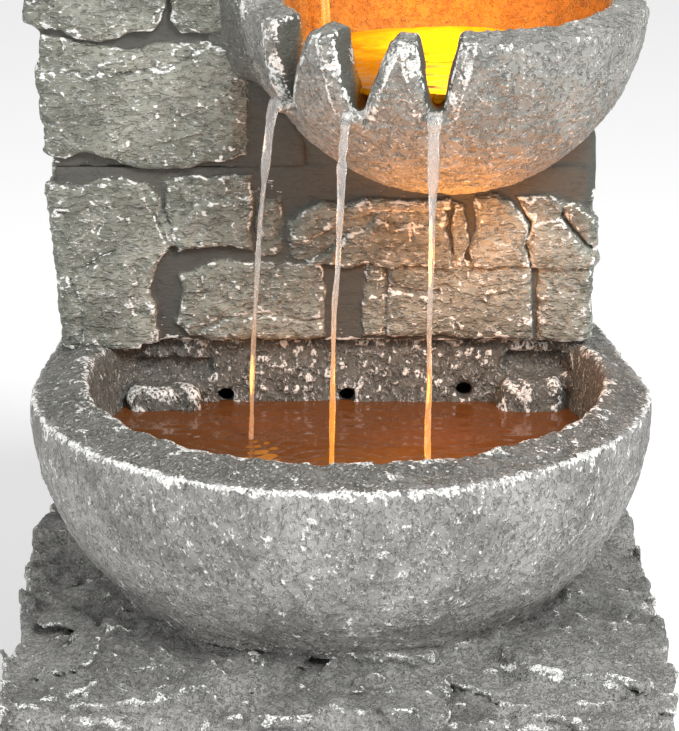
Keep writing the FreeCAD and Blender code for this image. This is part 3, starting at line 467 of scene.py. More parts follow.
def basin():
    step = 2.1
    low, high = BASIN_LOW, BASIN_HIGH
    place = grid(low, high, step)
    x, y, z = place
    back = np.maximum(y - BASIN_CENTRE[1], 0)
    across = x - BASIN_CENTRE[0]
    taper = 1 - back * np.where(across > 0, 0.00105, 0.00050)
    reach = np.hypot(across, np.minimum(y - BASIN_CENTRE[1], 0)) / taper
    knee = high[2] - 18
    stem = 126.0
    swell = arc_of(BASIN_WIDE - stem, knee - low[2])
    core = BASIN_WIDE - swell
    side = np.where(z < knee, np.hypot(np.maximum(reach - core, 0), knee - z) - swell, reach - BASIN_WIDE)
    slope = z - (high[2] - 8 * step_up(reach, MOUTH, BASIN_WIDE + 2))
    shape = soft_max(side, slope, 2.5)
    skirt = np.maximum(reach - stem - 4 - 3 * crumbs(x, y, z, 34, 2, 42), z - low[2] - 5)
    shape = soft_min(shape, skirt, 17)
    shape = np.maximum(np.maximum(shape, low[2] - z), y - high[1])

    def relief(px, py, pz):
        top = step_up(pz, high[2] - 12, high[2] - 6)
        coarse = 0.9 * crumbs(px, py, pz, 26, 3, 41)
        fine = 0.9 * ridges(px, py, pz, 7.5, 44) + 0.5 * lumps(px, py, pz, 4.2, 45)
        ragged = 1.8 * step_up(crumbs(px, py, pz, 9, 2, 47), 0.15, 0.7) * top
        return 1.2 + coarse - fine + ragged

    shape = roughen(shape, place, (7, 5), relief)
    shape = np.maximum(shape, y - high[1])
    mouth_x, mouth_y = BASIN_CENTRE[0] + 2.5, BASIN_CENTRE[1] - 1
    inner = np.hypot(x - mouth_x, y - mouth_y)
    foot = 100.0
    lip = high[2] - 16
    dish = arc_of(MOUTH - 3 - foot, lip - BASIN_FLOOR)
    bend = MOUTH - 3 - dish
    pool = np.where(z < lip, np.hypot(np.maximum(inner - bend, 0), lip - z) - dish,
                    inner - MOUTH + 3 * (high[2] - z) / 16)
    pool = soft_max(pool, BASIN_FLOOR - z, 14)
    pool = soft_max(pool, y - SCREEN_FRONT, 5)

    def pool_relief(px, py, pz):
        pebble, gap = facets(px, py, pz, 7.5, 52)
        bubbly = step_up(gap, 0.0, 0.35) * step_up(py, SCREEN_FRONT - 12, SCREEN_FRONT - 2)
        return 0.8 * crumbs(px, py, pz, 16, 3, 51) + 2.0 * bubbly + 0.7 * pebble * (bubbly > 0)

    pool = roughen(pool, place, (5, 6), pool_relief)
    for left, right, top in ((-129, -86, 226), (97, 137, 230)):
        ledge = block(x, y, z, (left, SCREEN_FRONT - 20, 100), (right, SCREEN_FRONT + 9, top), 7)
        pool = np.maximum(pool, -(ledge + 2.0 * crumbs(x, y, z, 11, 2, 3)))
        niche = block(x, y, z, (left + 4, SCREEN_FRONT - 8, top + 2),
                      (right + 8, SCREEN_FRONT + 5, top + 14), 3)
        pool = soft_min(pool, niche + 1.0 * lumps(x, y, z, 9, 4), 3)
    shape = soft_max(shape, -pool, 3)
    well = block(x, y, z, (-106, SCREEN_FRONT + SCREEN_THICK, 150), (106, high[1] - 12, 300), 2)
    shape = np.maximum(shape, -well)
    for left, up in DRAINS:
        hole = np.maximum(np.hypot(x - left, z - up) - 5.2, np.abs(y - SCREEN_FRONT) - 20)
        shape = np.maximum(shape, -hole)
    lead_hole = np.maximum(np.hypot(x - 24, z - 158) - 5, np.abs(y - SCREEN_FRONT) - 20)
    plug_low, plug_high = corners("drain_plug")
    middle = (plug_low + plug_high) / 2
    plug_hole = np.hypot(x - middle[0], z - middle[2])
    seat = np.maximum(plug_hole - 13.5, high[1] - 6 - y)
    way = np.maximum(plug_hole - 8.3, high[1] - 20 - y)
    shape = np.maximum(np.maximum(shape, -lead_hole), np.maximum(-seat, -way))
    thing, points = meshed("basin_rock", shape, place, step, 0.015)
    px, py, pz = points.T
    spread = np.hypot(px - BASIN_CENTRE[0], np.minimum(py - BASIN_CENTRE[1], 0))
    outer = np.exp(-((spread - BASIN_WIDE + 1.4) / 1.9) ** 2) * step_up(pz, high[2] - 12, high[2] - 9)
    streak = ridges(px, py, pz, 11, 48)
    inner_edge = np.exp(-((np.hypot(px - mouth_x, py - mouth_y) - MOUTH) / 2.2) ** 2)
    inner_edge *= step_up(pz, high[2] - 6, high[2] - 2)
    rag = crumbs(px, py, pz, 9, 2, 47)
    rim_top = step_up(pz, high[2] - 9.5, high[2] - 7.5)
    worn = outer * (0.95 + 0.6 * rag) + inner_edge * (0.20 + 0.5 * rag) + 0.14 * step_up(streak, 0.75, 1.0)
    wet_reach = bend + np.sqrt(np.maximum(dish ** 2 - (lip - np.minimum(pz, lip)) ** 2, 0))
    within = np.hypot(px - mouth_x, py - mouth_y) < np.minimum(wet_reach + 4, MOUTH - 1)
    within = within & (pz > BASIN_FLOOR - 4) & (pz < high[2] - 3) & (py < WELL_FRONT)
    # The rim's top and the inside of the pool are painted darker.
    weather(thing, points, worn, np.maximum(rim_top * 0.82, within * 0.92), within * 0.2, 0.62, (0.14, 0.5))
    return settle(thing, rock_paint("basin_paint", 0.95, 1.0, 0.72, body=(0.325, 0.315, 0.302, 1),
                                    shade=(0.175, 0.171, 0.163, 1), joint_tint=(0.085, 0.085, 0.072, 1)),
                  "lower_basin")


basin()

# ---------------------------------------------------------------- stacked-stone wall
# The wall and the tower are hollow castings that look like dry-stacked stone: each stone is a
# ragged raised face, its edges dry-brushed, with smooth dark joints cast behind them.

WALL_LOW, WALL_HIGH = corners("wall_shell")
TOWER_RIGHT = -57.0
WALL_SPLIT = 363.0
JOINT_DEEP = 7.0
MAP_STEP = 0.6


def outline_distance(px, pz, outline):
    """Signed distance to a closed outline, negative inside."""
    best = np.full(px.shape, 1e9)
    inside = np.zeros(px.shape, bool)
    for (ax, az), (bx, bz) in zip(outline, outline[1:] + outline[:1]):
        ex, ez = bx - ax, bz - az
        along = np.clip(((px - ax) * ex + (pz - az) * ez) / (ex * ex + ez * ez), 0, 1)
        best = np.minimum(best, np.hypot(px - ax - along * ex, pz - az - along * ez))
        if az != bz:
            crosses = ((az > pz) != (bz > pz)) & (px < (bx - ax) * (pz - az) / (bz - az) + ax)
            inside ^= crosses
    return np.where(inside, -best, best)


class Stonework:
    """A map over (distance along the faces, height) of how deep the surface is cut back and
    how near each spot is to a stone's edge. Stones are outlines with a setback and a tilt."""

    def __init__(self, left, right, low, high, stones, cracks, seed):
        self.left, self.low = left, low
        s = np.arange(left, right, MAP_STEP)[:, None]
        z = np.arange(low, high, MAP_STEP)[None, :]
        s, z = s + 0 * z, z + 0 * s
        flat = 0 * s
        ws = s + 1.7 * crumbs(s, z, flat, 13, 3, seed) + 0.5 * lumps(s, z, flat, 2.6, seed + 5)
        wz = z + 1.7 * crumbs(s, z, flat, 13, 3, seed + 9) + 0.5 * lumps(s, z, flat, 2.6, seed + 14)
        self.edge = np.full(s.shape, 60.0)
        setback = np.zeros(s.shape)
        for outline, back, tilt_s, tilt_z in stones:
            centre = np.mean(outline, axis=0)
            away = outline_distance(ws, wz, outline)
            mine = (away < self.edge) & (self.edge > 0)
            self.edge = np.where(mine, away, self.edge)
            plane = back + tilt_s * (s - centre[0]) + tilt_z * (z - centre[1])
            setback = np.where(mine, plane, setback)
        bevel = 0.9 + 2.2 * step_up(crumbs(s, z, flat, 21, 2, seed + 20), 0.2, 0.9)
        lip = step_up(self.edge, -bevel, 1.3)
        rounding = 1.3 * step_up(self.edge, -bevel - 4, -bevel * 0.3) ** 2
        plate, crease = facets(ws, flat, wz * 1.7, 21, seed + 31)
        chips, split = facets(ws, flat, wz * 1.5, 8, seed + 33)
        stone = setback + rounding - 1.15 * plate - 0.5 * chips + 0.4 * crumbs(s, z, flat, 18, 2, seed + 30)
        present = step_up(crumbs(s, z, flat, 15, 2, seed + 35), 0.0, 0.5)
        self.ridge = np.exp(-((crease - 0.07) / 0.05) ** 2) * present
        for outline, wide, deep in cracks:
            gap = np.full(s.shape, 1e9)
            for (ax, az), (bx, bz) in zip(outline, outline[1:]):
                ex, ez = bx - ax, bz - az
                along = np.clip(((ws - ax) * ex + (wz - az) * ez) / (ex * ex + ez * ez), 0, 1)
                gap = np.minimum(gap, np.hypot(ws - ax - along * ex, wz - az - along * ez))
            stone = stone + deep * (1 - step_up(gap, wide * 0.2, wide))
            self.edge = np.maximum(self.edge, wide * 0.5 - gap)
        joint = JOINT_DEEP + 0.8 * crumbs(s, z, flat, 30, 2, seed + 40)
        self.cut = stone + (joint - stone) * lip
        self.lip = lip

    def sample(self, layer, s, z):
        values = getattr(self, layer)
        u = np.clip((s - self.left) / MAP_STEP, 0, values.shape[0] - 1.001)
        v = np.clip((z - self.low) / MAP_STEP, 0, values.shape[1] - 1.001)
        i, j = u.astype(int), v.astype(int)
        fu, fv = u - i, v - j
        low = values[i, j] * (1 - fu) + values[i + 1, j] * fu
        high = values[i, j + 1] * (1 - fu) + values[i + 1, j + 1] * fu
        return low * (1 - fv) + high * fv


def wrap(px, py, left, right, front, turn=8.0):
    """Distance along the front face, running on round each front corner to the back."""
    past_left = np.maximum(left + turn - px, 0)
    past_right = np.maximum(px - right + turn, 0)
    back = np.maximum(py - front - turn, 0)
    return np.where(px < (left + right) / 2, np.maximum(px, left + turn) - past_left - back,
                    np.minimum(px, right - turn) + past_right + back)


def course(low, high, bounds, seed, setback=1.5):
    """Roughly rectangular stones between two heights, each with its own wavering outline."""
    dice = np.random.default_rng(seed)
    stones = []
    for a, b in zip(bounds, bounds[1:]):
        a, b = a + 2.0, b - 2.0
        middle = (a + b) / 2
        jog = lambda: dice.uniform(-2.5, 2.5)
        outline = [(a + jog(), low + jog()), (middle + jog(), low + jog()), (b + jog(), low + jog()),
                   (b + jog(), (low + high) / 2), (b + jog(), high + jog()),
                   (middle + 6 * jog(), high + jog()), (a + jog(), high + jog()),
                   (a + jog(), (low + high) / 2)]
        stones.append((outline, dice.uniform(0, setback), dice.uniform(-0.02, 0.02),
                       dice.uniform(-0.03, 0.03)))
    return stones


FRONT_STONES = [
    ([(-135, 314), (-158, 301), (-163, 293), (-157, 286), (-156, 246), (-111, 246), (-113, 264),
      (-123, 275), (-125, 281), (-119, 293)], -1.4, 0.01, -0.02),
    ([(-198, 354), (-171, 354), (-156, 352), (-142, 357), (-124, 355), (-117, 353), (-108, 344),
      (-101, 325), (-97, 315), (-104, 314), (-112, 298), (-113, 282), (-109, 256), (-111, 246),
      (-198, 246)], 0.6, 0.0, 0.0),
    ([(-104, 341), (-93, 340), (-75, 346), (-54, 345), (-53, 311), (-65, 315), (-97, 311), (-102, 330)],
     -0.6, 0.0, 0.02),
    ([(-105, 355), (-77, 358), (-53, 359), (-53, 330), (-104, 330)], 2.6, 0.0, 0.06),
    ([(-50, 346), (-36, 344), (-34, 325), (-37, 308), (-51, 306)], 4.5, 0.05, 0.0),
    ([(-18, 305), (3, 320), (23, 332), (37, 327), (52, 328), (64, 335), (66, 318), (68, 300), (31, 302),
      (-17, 302)], -0.6, 0.0, 0.03),
    ([(-32, 317), (-31, 322), (-25, 335), (-11, 342), (30, 343), (66, 344), (66, 337), (26, 337), (13, 334),
      (2, 331), (-7, 324), (-18, 316), (-29, 314)], 0.0, 0.0, 0.05),
    ([(-31, 330), (60, 340), (66, 330), (66, 303), (-17, 302), (-30, 308)], 3.6, 0.0, 0.0),
    ([(68, 342), (76, 339), (78, 316), (75, 307), (78, 301), (69, 301)], 2.2, 0.0, 0.02),
    ([(81, 345), (95, 347), (106, 339), (113, 329), (111, 314), (116, 301), (88, 301), (80, 302),
      (79, 313), (82, 327)], -0.4, 0.0, 0.03),
    ([(136, 341), (146, 341), (158, 331), (180, 330), (180, 308), (155, 311), (137, 333)], 0.4, -0.03, 0.0),
    ([(115, 329), (134, 333), (146, 318), (152, 312), (180, 306), (180, 301), (117, 301), (112, 317)],
     -0.2, 0.0, 0.03),
    ([(105, 345), (127, 347), (137, 342), (133, 332), (116, 328)], 1.6, 0.0, 0.06),
    ([(-97, 296), (-81, 302), (-67, 305), (-54, 304), (-11, 302), (-8, 286), (-10, 274), (-8, 256),
      (-91, 256), (-99, 267), (-95, 288)], 2.2, 0.0, 0.02),
    ([(15, 305), (27, 305), (27, 257), (14, 257)], 3.8, 0.05, 0.0),
    ([(28, 305), (116, 305), (117, 254), (89, 256), (28, 257)], 3.2, 0.0, 0.02),
    ([(121, 305), (180, 305), (180, 255), (120, 254)], 3.0, 0.0, 0.02),
]
FRONT_CRACKS = [
    ([(67, 268), (77, 257), (83, 254)], 1.5, 1.3), ([(-81, 301), (-84, 292), (-83, 284)], 1.1, 0.9),
    ([(-91, 257), (-81, 265), (-66, 270), (-40, 271), (-10, 268)], 1.6, 1.4),
    ([(44, 327), (45, 316), (44, 302)], 1.1, 0.8),
    ([(31, 289), (46, 285), (60, 285)], 3.2, 2.6), ([(90, 283), (104, 284), (116, 290)], 3.0, 2.2),
    ([(10, 296), (13, 274), (11, 257)], 1.6, 2.4), ([(26, 292), (27, 274), (25, 257)], 1.0, 1.0),
    ([(-150, 345), (-138, 336), (-146, 324)], 1.4, 1.0), ([(-118, 353), (-104, 318)], 2.2, 1.6),
]
WALL_FRONT = WALL_LOW[1]
WALL_BACK = WALL_HIGH[1]
FRONT_SKIN, BACK_SKIN = 18, 12  # rock left in front of and behind the hollow inside
DOOR_LAP, DOOR_PLAY = 8, 1.2  # how far the door overlaps its opening, and its clearance
SEAT_GAP = 0.4  # between a bowl's underside and the rock cast around it
FACE_TOP = 606  # where the tower's stonework ends under the top bowl


def side_run(left, right):
    """How far the map runs on each side to reach the back of the wall."""
    deep = WALL_BACK - WALL_FRONT
    return left - deep, right + deep


def stone_relief(work, left, right, seed, proud=0.0):
    """How deep the stonework is cut at a point; the back is cast flat."""
    def relief(px, py, pz):
        s = wrap(px, py, left, right, WALL_FRONT)
        quiet = 1 - work.sample("lip", s, pz)
        chip = 0.9 * ridges(px, py, pz, 5.5, seed) + 0.5 * ridges(px, py, pz, 2.9, seed + 1)
        behind = step_up(py, WALL_BACK - 8, WALL_BACK - 2)
        rough = work.sample("cut", s, pz) + quiet * (0.9 - chip) + 0.3 * lumps(px, py, pz, 4, seed + 2)
        return rough * (1 - behind) + 0.5 * behind * (1 + crumbs(px, py, pz, 14, 3, seed + 4)) - proud
    return relief


def stone_wear(work, points, left, right):
    """How worn each point of the stonework is, and how far down in a joint it lies."""
    px, py, pz = points.T
    s = wrap(px, py, left, right, WALL_FRONT)
    near = work.sample("edge", s, pz)
    fray = crumbs(px, py, pz, 7, 2, 90)
    worn = np.exp(-((near + 0.7) / 0.75) ** 2) * (0.35 + 0.9 * fray)
    return np.maximum(worn, 0.3 * work.sample("ridge", s, pz)), step_up(work.sample("lip", s, pz), 0.35, 0.9)


def bowl_seat(place, foot, ball, top, blend):
    """Smooth rock that gathers a bowl's underside into the casting below it."""
    shape = soft_min(foot, np.maximum(ball + 1.5, place[2] - top), blend)
    shape = np.maximum(shape, place[1] - WALL_BACK)
    return roughen(shape, place, (5, 5), lambda px, py, pz: 0.6 * crumbs(px, py, pz, 20, 3, 81))


def wall():
    step = 1.25
    low = np.array([-186.0, WALL_FRONT, WALL_LOW[2]])
    high = np.array([164.0, WALL_BACK, WALL_SPLIT + 44])
    place = grid(low, high, step)
    x, y, z = place
    left, right = -172.0, 156.0
    start, end = side_run(left, right)
    sides = course(258, 302, [start, -245, -202], 3) + course(310, 356, [start, -232, -200], 4)
    sides += course(258, 298, [180, 222, end], 5) + course(306, 347, [186, 232, end], 6)
    work = Stonework(start, end, low[2] - 4, WALL_SPLIT + 4, FRONT_STONES + sides, FRONT_CRACKS, 60)
    flare = -170 - (z - 263) * 0.07
    stretch = (-170 - flare) * (x < 0)
    plan = slab(x + stretch, y, (-170, WALL_FRONT), (156, WALL_BACK), 9)
    shape = plan + 0 * z
    shape = roughen(shape, place, (12, 4), stone_relief(work, left, right, 71, 0.6))
    shape = np.maximum(shape, z - WALL_SPLIT)
    base = low[2] + 1.5 * lumps(x, y, 0 * z, 16, 4) * (x < -100) + 4 * (x < -120) * (-1)
    shape = np.maximum(shape, base - z)
    shoulder = block(x, y, z, (-66, WALL_FRONT + 9, 340), (154, WALL_BACK, 386), 7)
    bowl = ball_gap(x, y, z, MID_CENTRE, MID_BALL)
    shape = soft_min(shape, bowl_seat(place, shoulder, bowl, 404, 16), 3)
    shape = np.maximum(shape, -(bowl - SEAT_GAP))
    shape = np.maximum(shape, np.where((x < TOWER_RIGHT - 4) & (z > WALL_SPLIT), 5.0, -5.0))
    room = block(x, y, z, (-156, WALL_FRONT + FRONT_SKIN, 0),
                 (134, WALL_BACK - BACK_SKIN, WALL_SPLIT - 23), 2)
    shaft = block(x, y, z, (-160, WALL_FRONT + FRONT_SKIN, 320), (-73, WALL_BACK - BACK_SKIN, 420), 2)
    door_low, door_high = corners("access_door")
    doorway = block(x, y, z, (door_low[0] + DOOR_LAP, 150, door_low[2] + DOOR_LAP),
                    (door_high[0] - DOOR_LAP, 200, door_high[2] - DOOR_LAP), 1)
    rebate = block(x, y, z, (door_low[0] - DOOR_PLAY, WALL_BACK - 6, door_low[2] - DOOR_PLAY),
                   (door_high[0] + DOOR_PLAY, 200, door_high[2] + DOOR_PLAY), 0)
    gland_low, gland_high = corners("inlet_gland")
    eye = (gland_low + gland_high) / 2
    pocket = np.maximum(np.hypot(x - eye[0], z - eye[2]) - 12.5, WALL_BACK - 8 - y)
    for hollow in (room, shaft, doorway, rebate, pocket):
        shape = np.maximum(shape, -hollow)
    thing, points = meshed("wall_rock", shape, place, step, 0.03)
    px, py, pz = points.T
    worn, sunken = stone_wear(work, points, left, right)
    below = pz < WALL_SPLIT - 4
    outer = slab(px, py, (-186, WALL_FRONT), (170, WALL_BACK - 3), 9) > -17
    # Painted shade: above the stonework, the seat under the middle bowl takes the joint tint, darkest at the
    # front.
    smooth = 1 - 0.6 * step_up(py, WALL_FRONT + 35, WALL_FRONT + 70)
    stony = outer * below * 1.0
    weather(thing, points, worn * stony, 0 * worn, np.where(below, sunken, smooth), 0.85,
            (0.16, 0.62), stony)
    return settle(thing, ROCK_WALL, "wall_shell")


MID_LOW, MID_HIGH = corners("middle_bowl")
MID_WIDE = 123.0
MID_CENTRE = (MID_HIGH[0] - MID_WIDE, WALL_FRONT)
FLAT = 8.0


def ball_of(wide, low, rim):
    """The radius and the height of the centre of the ball that a bowl's underside follows."""
    rise = rim - 4 - low
    out = wide - FLAT
    radius = (out * out + rise * rise) / (2 * rise)
    return radius + FLAT * 0.5, low + radius


MID_BALL = ball_of(MID_WIDE, MID_LOW[2], MID_HIGH[2])
ROCK_WALL = rock_paint("wall_paint", 0.9, 0.55, 1.2, body=(0.27, 0.272, 0.228, 1),
                       shade=(0.135, 0.138, 0.112, 1), joint_tint=(0.072, 0.070, 0.060, 1))
wall()


def tower():
    step = 1.25
    low = np.array([-188.0, WALL_FRONT, WALL_SPLIT])
    high = np.array([TOWER_RIGHT + 40, WALL_BACK, WALL_HIGH[2]])
    place = grid(low, high, step)
    x, y, z = place
    left, right = -182.0, TOWER_RIGHT
    start, end = side_run(left, right)
    stones = [
        ([(-206, 425), (-181, 425), (-163, 424), (-146, 420), (-134, 420), (-119, 423), (-103, 423),
          (-95, 427), (-87, 434), (-73, 438), (-40, 438), (-40, 371), (-54, 370), (-78, 367), (-91, 364),
          (-107, 361), (-122, 364), (-138, 369), (-151, 372), (-166, 370), (-206, 371)], 0.0, 0.0, 0.01),
        ([(-146, 424), (-141, 427), (-127, 431), (-124, 434), (-117, 435), (-107, 438), (-97, 438),
          (-73, 441), (-80, 430), (-140, 415)], 1.9, 0.0, 0.02),
        ([(-206, 443), (-181, 443), (-160, 441), (-141, 438), (-124, 434), (-80, 430), (-100, 415),
          (-206, 415)], 3.0, 0.0, 0.03),
        ([(-206, 449), (-184, 448), (-168, 446), (-149, 441), (-139, 441), (-131, 443), (-123, 446),
          (-109, 445), (-103, 454), (-101, 501), (-150, 503), (-206, 502)], 0.4, 0.0, 0.02),
        ([(-99, 453), (-92, 445), (-74, 446), (-36, 447), (-37, 500), (-98, 502)], 0.0, 0.0, 0.02),
    ]
    stones += course(510, 555, [-206, -120, -36], 13) + course(562, 604, [-200, -134, -40], 14)
    for j, (a, b) in enumerate(((372, 438), (449, 501), (510, 555), (562, 604))):
        stones += course(a, b, [start, -246 + 9 * (j % 2), -208], 20 + j)
        stones += course(a, b, [-34, 8 - 10 * (j % 2), end], 30 + j)
    crack = [([(-80, 400), (-92, 386), (-88, 372)], 1.4, 1.0)]
    work = Stonework(start, end, low[2] - 4, high[2] + 4, stones, crack, 160)
    flare = np.clip((z - 380) * 0.09, 0, 4) + 7 * step_up(z, 441, 450)
    plan = slab(x + flare * (x < -120), y, (-177, WALL_FRONT), (TOWER_RIGHT, WALL_BACK), 9)
    shape = np.maximum(plan, z - (FACE_TOP + 1)) + 0 * x
    shape = roughen(shape, place, (12, 4), stone_relief(work, left, right, 171))
    collar = block(x, y, z, (-168, WALL_FRONT + 7, 590), (TOWER_RIGHT - 8, WALL_BACK, 622), 7)
    ball = ball_gap(x, y, z, TOP_CENTRE, TOP_BALL)
    shape = np.maximum(soft_min(shape, bowl_seat(place, collar, ball, 642, 14), 3), -(ball - SEAT_GAP))
    cheek = block(x, y, z, (TOWER_RIGHT - 12, WALL_FRONT + 6, 340), (TOWER_RIGHT + 37, WALL_BACK, 432), 4)
    under = ball_gap(x, y, z, MID_CENTRE, MID_BALL)
    shape = soft_min(shape, np.maximum(cheek, -(under - SEAT_GAP)), 7)
    shape = np.maximum(shape, WALL_SPLIT - z)
    shaft = block(x, y, z, (-160, WALL_FRONT + FRONT_SKIN, 300), (-73, WALL_BACK - BACK_SKIN, 595), 2)
    shape = np.maximum(shape, -shaft)
    thing, points = meshed("tower_rock", shape, place, step, 0.03)
    px, py, pz = points.T
    worn, sunken = stone_wear(work, points, left, right)
    worn = worn * ((py < WALL_BACK - 3) & (pz < FACE_TOP))
    # Painted shade: the collar under the top bowl takes the full joint tint, and the cheek under the middle
    # bowl takes it darkest at the front.
    joint = np.where(pz < FACE_TOP, sunken, 1.0)
    stony = (px < TOWER_RIGHT + 2) & (pz > WALL_SPLIT + 3) & (pz < FACE_TOP)
    smooth = 1 - 0.6 * step_up(py, WALL_FRONT + 35, WALL_FRONT + 70)
    weather(thing, points, worn * stony, 0 * worn, np.where(px > TOWER_RIGHT + 2, smooth, joint), 0.85,
            (0.16, 0.62), stony * 1.0)
    return settle(thing, ROCK_WALL)


TOP_LOW, TOP_HIGH = corners("top_bowl")
TOP_WIDE = 86.0
TOP_CENTRE = (TOP_LOW[0] + TOP_WIDE, TOP_LOW[1] + TOP_WIDE)
TOP_BALL = ball_of(TOP_WIDE, TOP_LOW[2], TOP_HIGH[2])
tower()

# ---------------------------------------------------------------- middle and top bowls
# Each bowl is a thick round casting. Deep V-shaped spillways are cut through the rim, their cut
# faces chamfered and brushed pale, each with a small tongue that throws the water clear.


def spillway(x, y, z, centre, foot, rim, notch):
    """Distance to a spillway whose sides lean from its foot out to their bearings at the rim."""
    at, left, right = notch
    spread = np.hypot(x - centre[0], y - centre[1])
    bearing = np.degrees(np.arctan2(x - centre[0], centre[1] - y))
    up = np.clip((z - foot) / (rim - foot), 0, 1.2)
    up = up ** 0.9
    half = 1.7
    from_left = at - half + (left - at + half) * up - bearing
    from_right = bearing - (at + half + (right - at - half) * up)
    cut = np.radians(np.maximum(from_left, from_right)) * np.maximum(spread, 30) * 0.92
    cut = np.where(np.abs(bearing - at) > 90, 99, cut)
    return soft_max(cut, foot - z + 0 * cut, 3)


def bowl(name, centre, wide, mouth, low, rim, notches, step, others, nodes, seed):
    lows = np.array([centre[0] - wide - (30 if others else 3), centre[1] - wide - 3, low])
    highs = np.array([centre[0] + wide + 3, min(centre[1] + wide + 3, WALL_BACK), rim])
    place = grid(lows, highs, step)
    x, y, z = place
    radius, height = ball_of(wide, low, rim)
    spread = np.hypot(x - centre[0], y - centre[1])
    outer = np.sqrt(spread ** 2 + (z - height) ** 2) - radius
    outer = np.maximum(outer, low - z)
    slope = z - (rim - 5 * step_up(spread, mouth + 4, wide))
    shape = soft_max(outer, slope, 3)

    def relief(px, py, pz):
        return 1.1 + 0.8 * crumbs(px, py, pz, 24, 3, seed) - 1.2 * ridges(px, py, pz, 6.5, seed + 3)

    shape = roughen(shape, place, (7, 4), relief)
    floor = low + (wide - mouth) * 0.62
    dish_rise = rim - floor
    dish = (mouth * mouth + dish_rise * dish_rise) / (2 * dish_rise)
    inside = np.sqrt(spread ** 2 + (z - floor - dish) ** 2) - dish
    inside = np.where(z > floor + dish, spread - dish, inside)
    inside = roughen(inside, place, (4, 4), lambda px, py, pz: 0.7 * crumbs(px, py, pz, 15, 3, seed + 6))
    shape = soft_max(shape, -inside, 3)
    for notch, foot in notches:
        cut = spillway(x, y, z, centre, foot, rim, notch) + 0.8 * lumps(x, y, z, 8, seed + 12)
        cut = np.maximum(cut, mouth * 0.5 - spread)
        chamfer = (1 - cut / 8.5 + outer / 5.5) * 4.6
        shape = np.maximum(shape, np.where(cut < 14, chamfer, -9))
        shape = soft_max(shape, -cut, 3.5)
        turn = math.radians(notch[0])
        out = (x - centre[0]) * math.sin(turn) - (y - centre[1]) * math.cos(turn)
        side = (x - centre[0]) * math.cos(turn) + (y - centre[1]) * math.sin(turn)
        reach = math.sqrt(radius ** 2 - (height - foot) ** 2)
        sag = np.maximum(reach - out, 0) * 0.4
        lip = np.hypot(side, z - foot + 3.5 + sag) - 5.2 + 0.22 * np.abs(out - reach + 3)
        lip = soft_max(lip, np.abs(out - reach + 4) - 9, 2)
        lip = soft_max(lip, -(np.hypot(side, z - foot - 2.2) - 3.6), 1.2)
        shape = soft_min(shape, lip, 3)
    shape = np.maximum(shape, y - WALL_BACK)
    for other in others:
        shape = other(shape, x, y, z)
    thing, points = meshed(name, shape, place, step, 0.01)
    px, py, pz = points.T
    spread = np.hypot(px - centre[0], py - centre[1])
    shell = np.sqrt(spread ** 2 + (pz - height) ** 2) - radius
    fray = crumbs(px, py, pz, 7, 2, seed + 20)
    worn = np.exp(-((spread - wide + 2) / 1.9) ** 2) * step_up(pz, rim - 12, rim - 8)
    inner = np.exp(-((spread - mouth) / 2.6) ** 2) * step_up(pz, rim - 8, rim - 3)
    worn = worn * (0.9 + 0.6 * fray) + inner * (0.3 + 0.5 * fray)
    inner_side = step_up(shell, -5, -9) * step_up(mouth + 4 - spread, 0, 5)
    # The inside of the rim and the spillways' inner faces are painted darker and calmer.
    smooth = inner_side * 0.5
    for notch, foot in notches:
        cut = spillway(px, py, pz, centre, foot, rim, notch)
        rim_band = step_up(cut, -0.5, 0.8) * (1 - step_up(cut, 7.5, 10)) * (shell > -8) * (pz > foot - 4)
        line = np.exp(-((cut - 8.2) / 1.3) ** 2) + np.exp(-((cut - 0.8) / 1.1) ** 2)
        line = line * (shell > -6.5) * (pz > foot - 3)
        worn = np.maximum(worn, np.maximum(rim_band * (0.36 + 0.6 * fray), line * (0.75 + 0.6 * fray)))
        smooth = np.maximum(smooth, (cut < 1.5) * (shell < -5) * (spread > mouth * 0.5) * 0.85)
    # Painted shade: the fillet where the bowl meets the tower is darkened and calmed.
    fillet = step_up(shell, 1.0, 5) * (py > WALL_FRONT - 48) * (px < TOWER_RIGHT + 12)
    smooth = np.maximum(smooth, fillet * 0.62)
    # Painted lamp glow: the inside of the rim is painted amber.
    weather(thing, points, worn * (1 - fillet), smooth, smooth, 0.55, (0.16, 0.6), 1.0, inner_side * 0.85)
    return settle(thing, ROCK_BOWL, *nodes)


def clear_of_tower(shape, x, y, z):
    """Fair the bowl into the tower's side with a smooth hollow, and stop at its face."""
    face = block(x, y, z, (-190, WALL_FRONT + 3, 300), (TOWER_RIGHT - 3, WALL_BACK + 20, 700), 2)
    core = block(x, y, z, (-190, WALL_FRONT + 9, 300), (TOWER_RIGHT - 3, WALL_BACK + 20, 700), 2)
    face = face + 0.30 * np.maximum(TOWER_RIGHT - 2 - x, 0)
    faired = soft_min(shape, np.maximum(face, z - MID_HIGH[2] - 2), 40)
    faired = np.maximum(faired, -(np.hypot(x - MID_CENTRE[0], y - MID_CENTRE[1]) - MID_WIDE + 27))
    faired = np.maximum(faired, TOWER_RIGHT - 24 + 3 * crumbs(x, y, z, 14, 2, 9) - x)
    near = step_up(y, WALL_FRONT - 46, WALL_FRONT - 14) * step_up(z, 366, 436)
    shape = np.where(x < -20, shape + (np.minimum(faired, shape) - shape) * near, shape)
    return np.maximum(shape, -(core - 0.2))


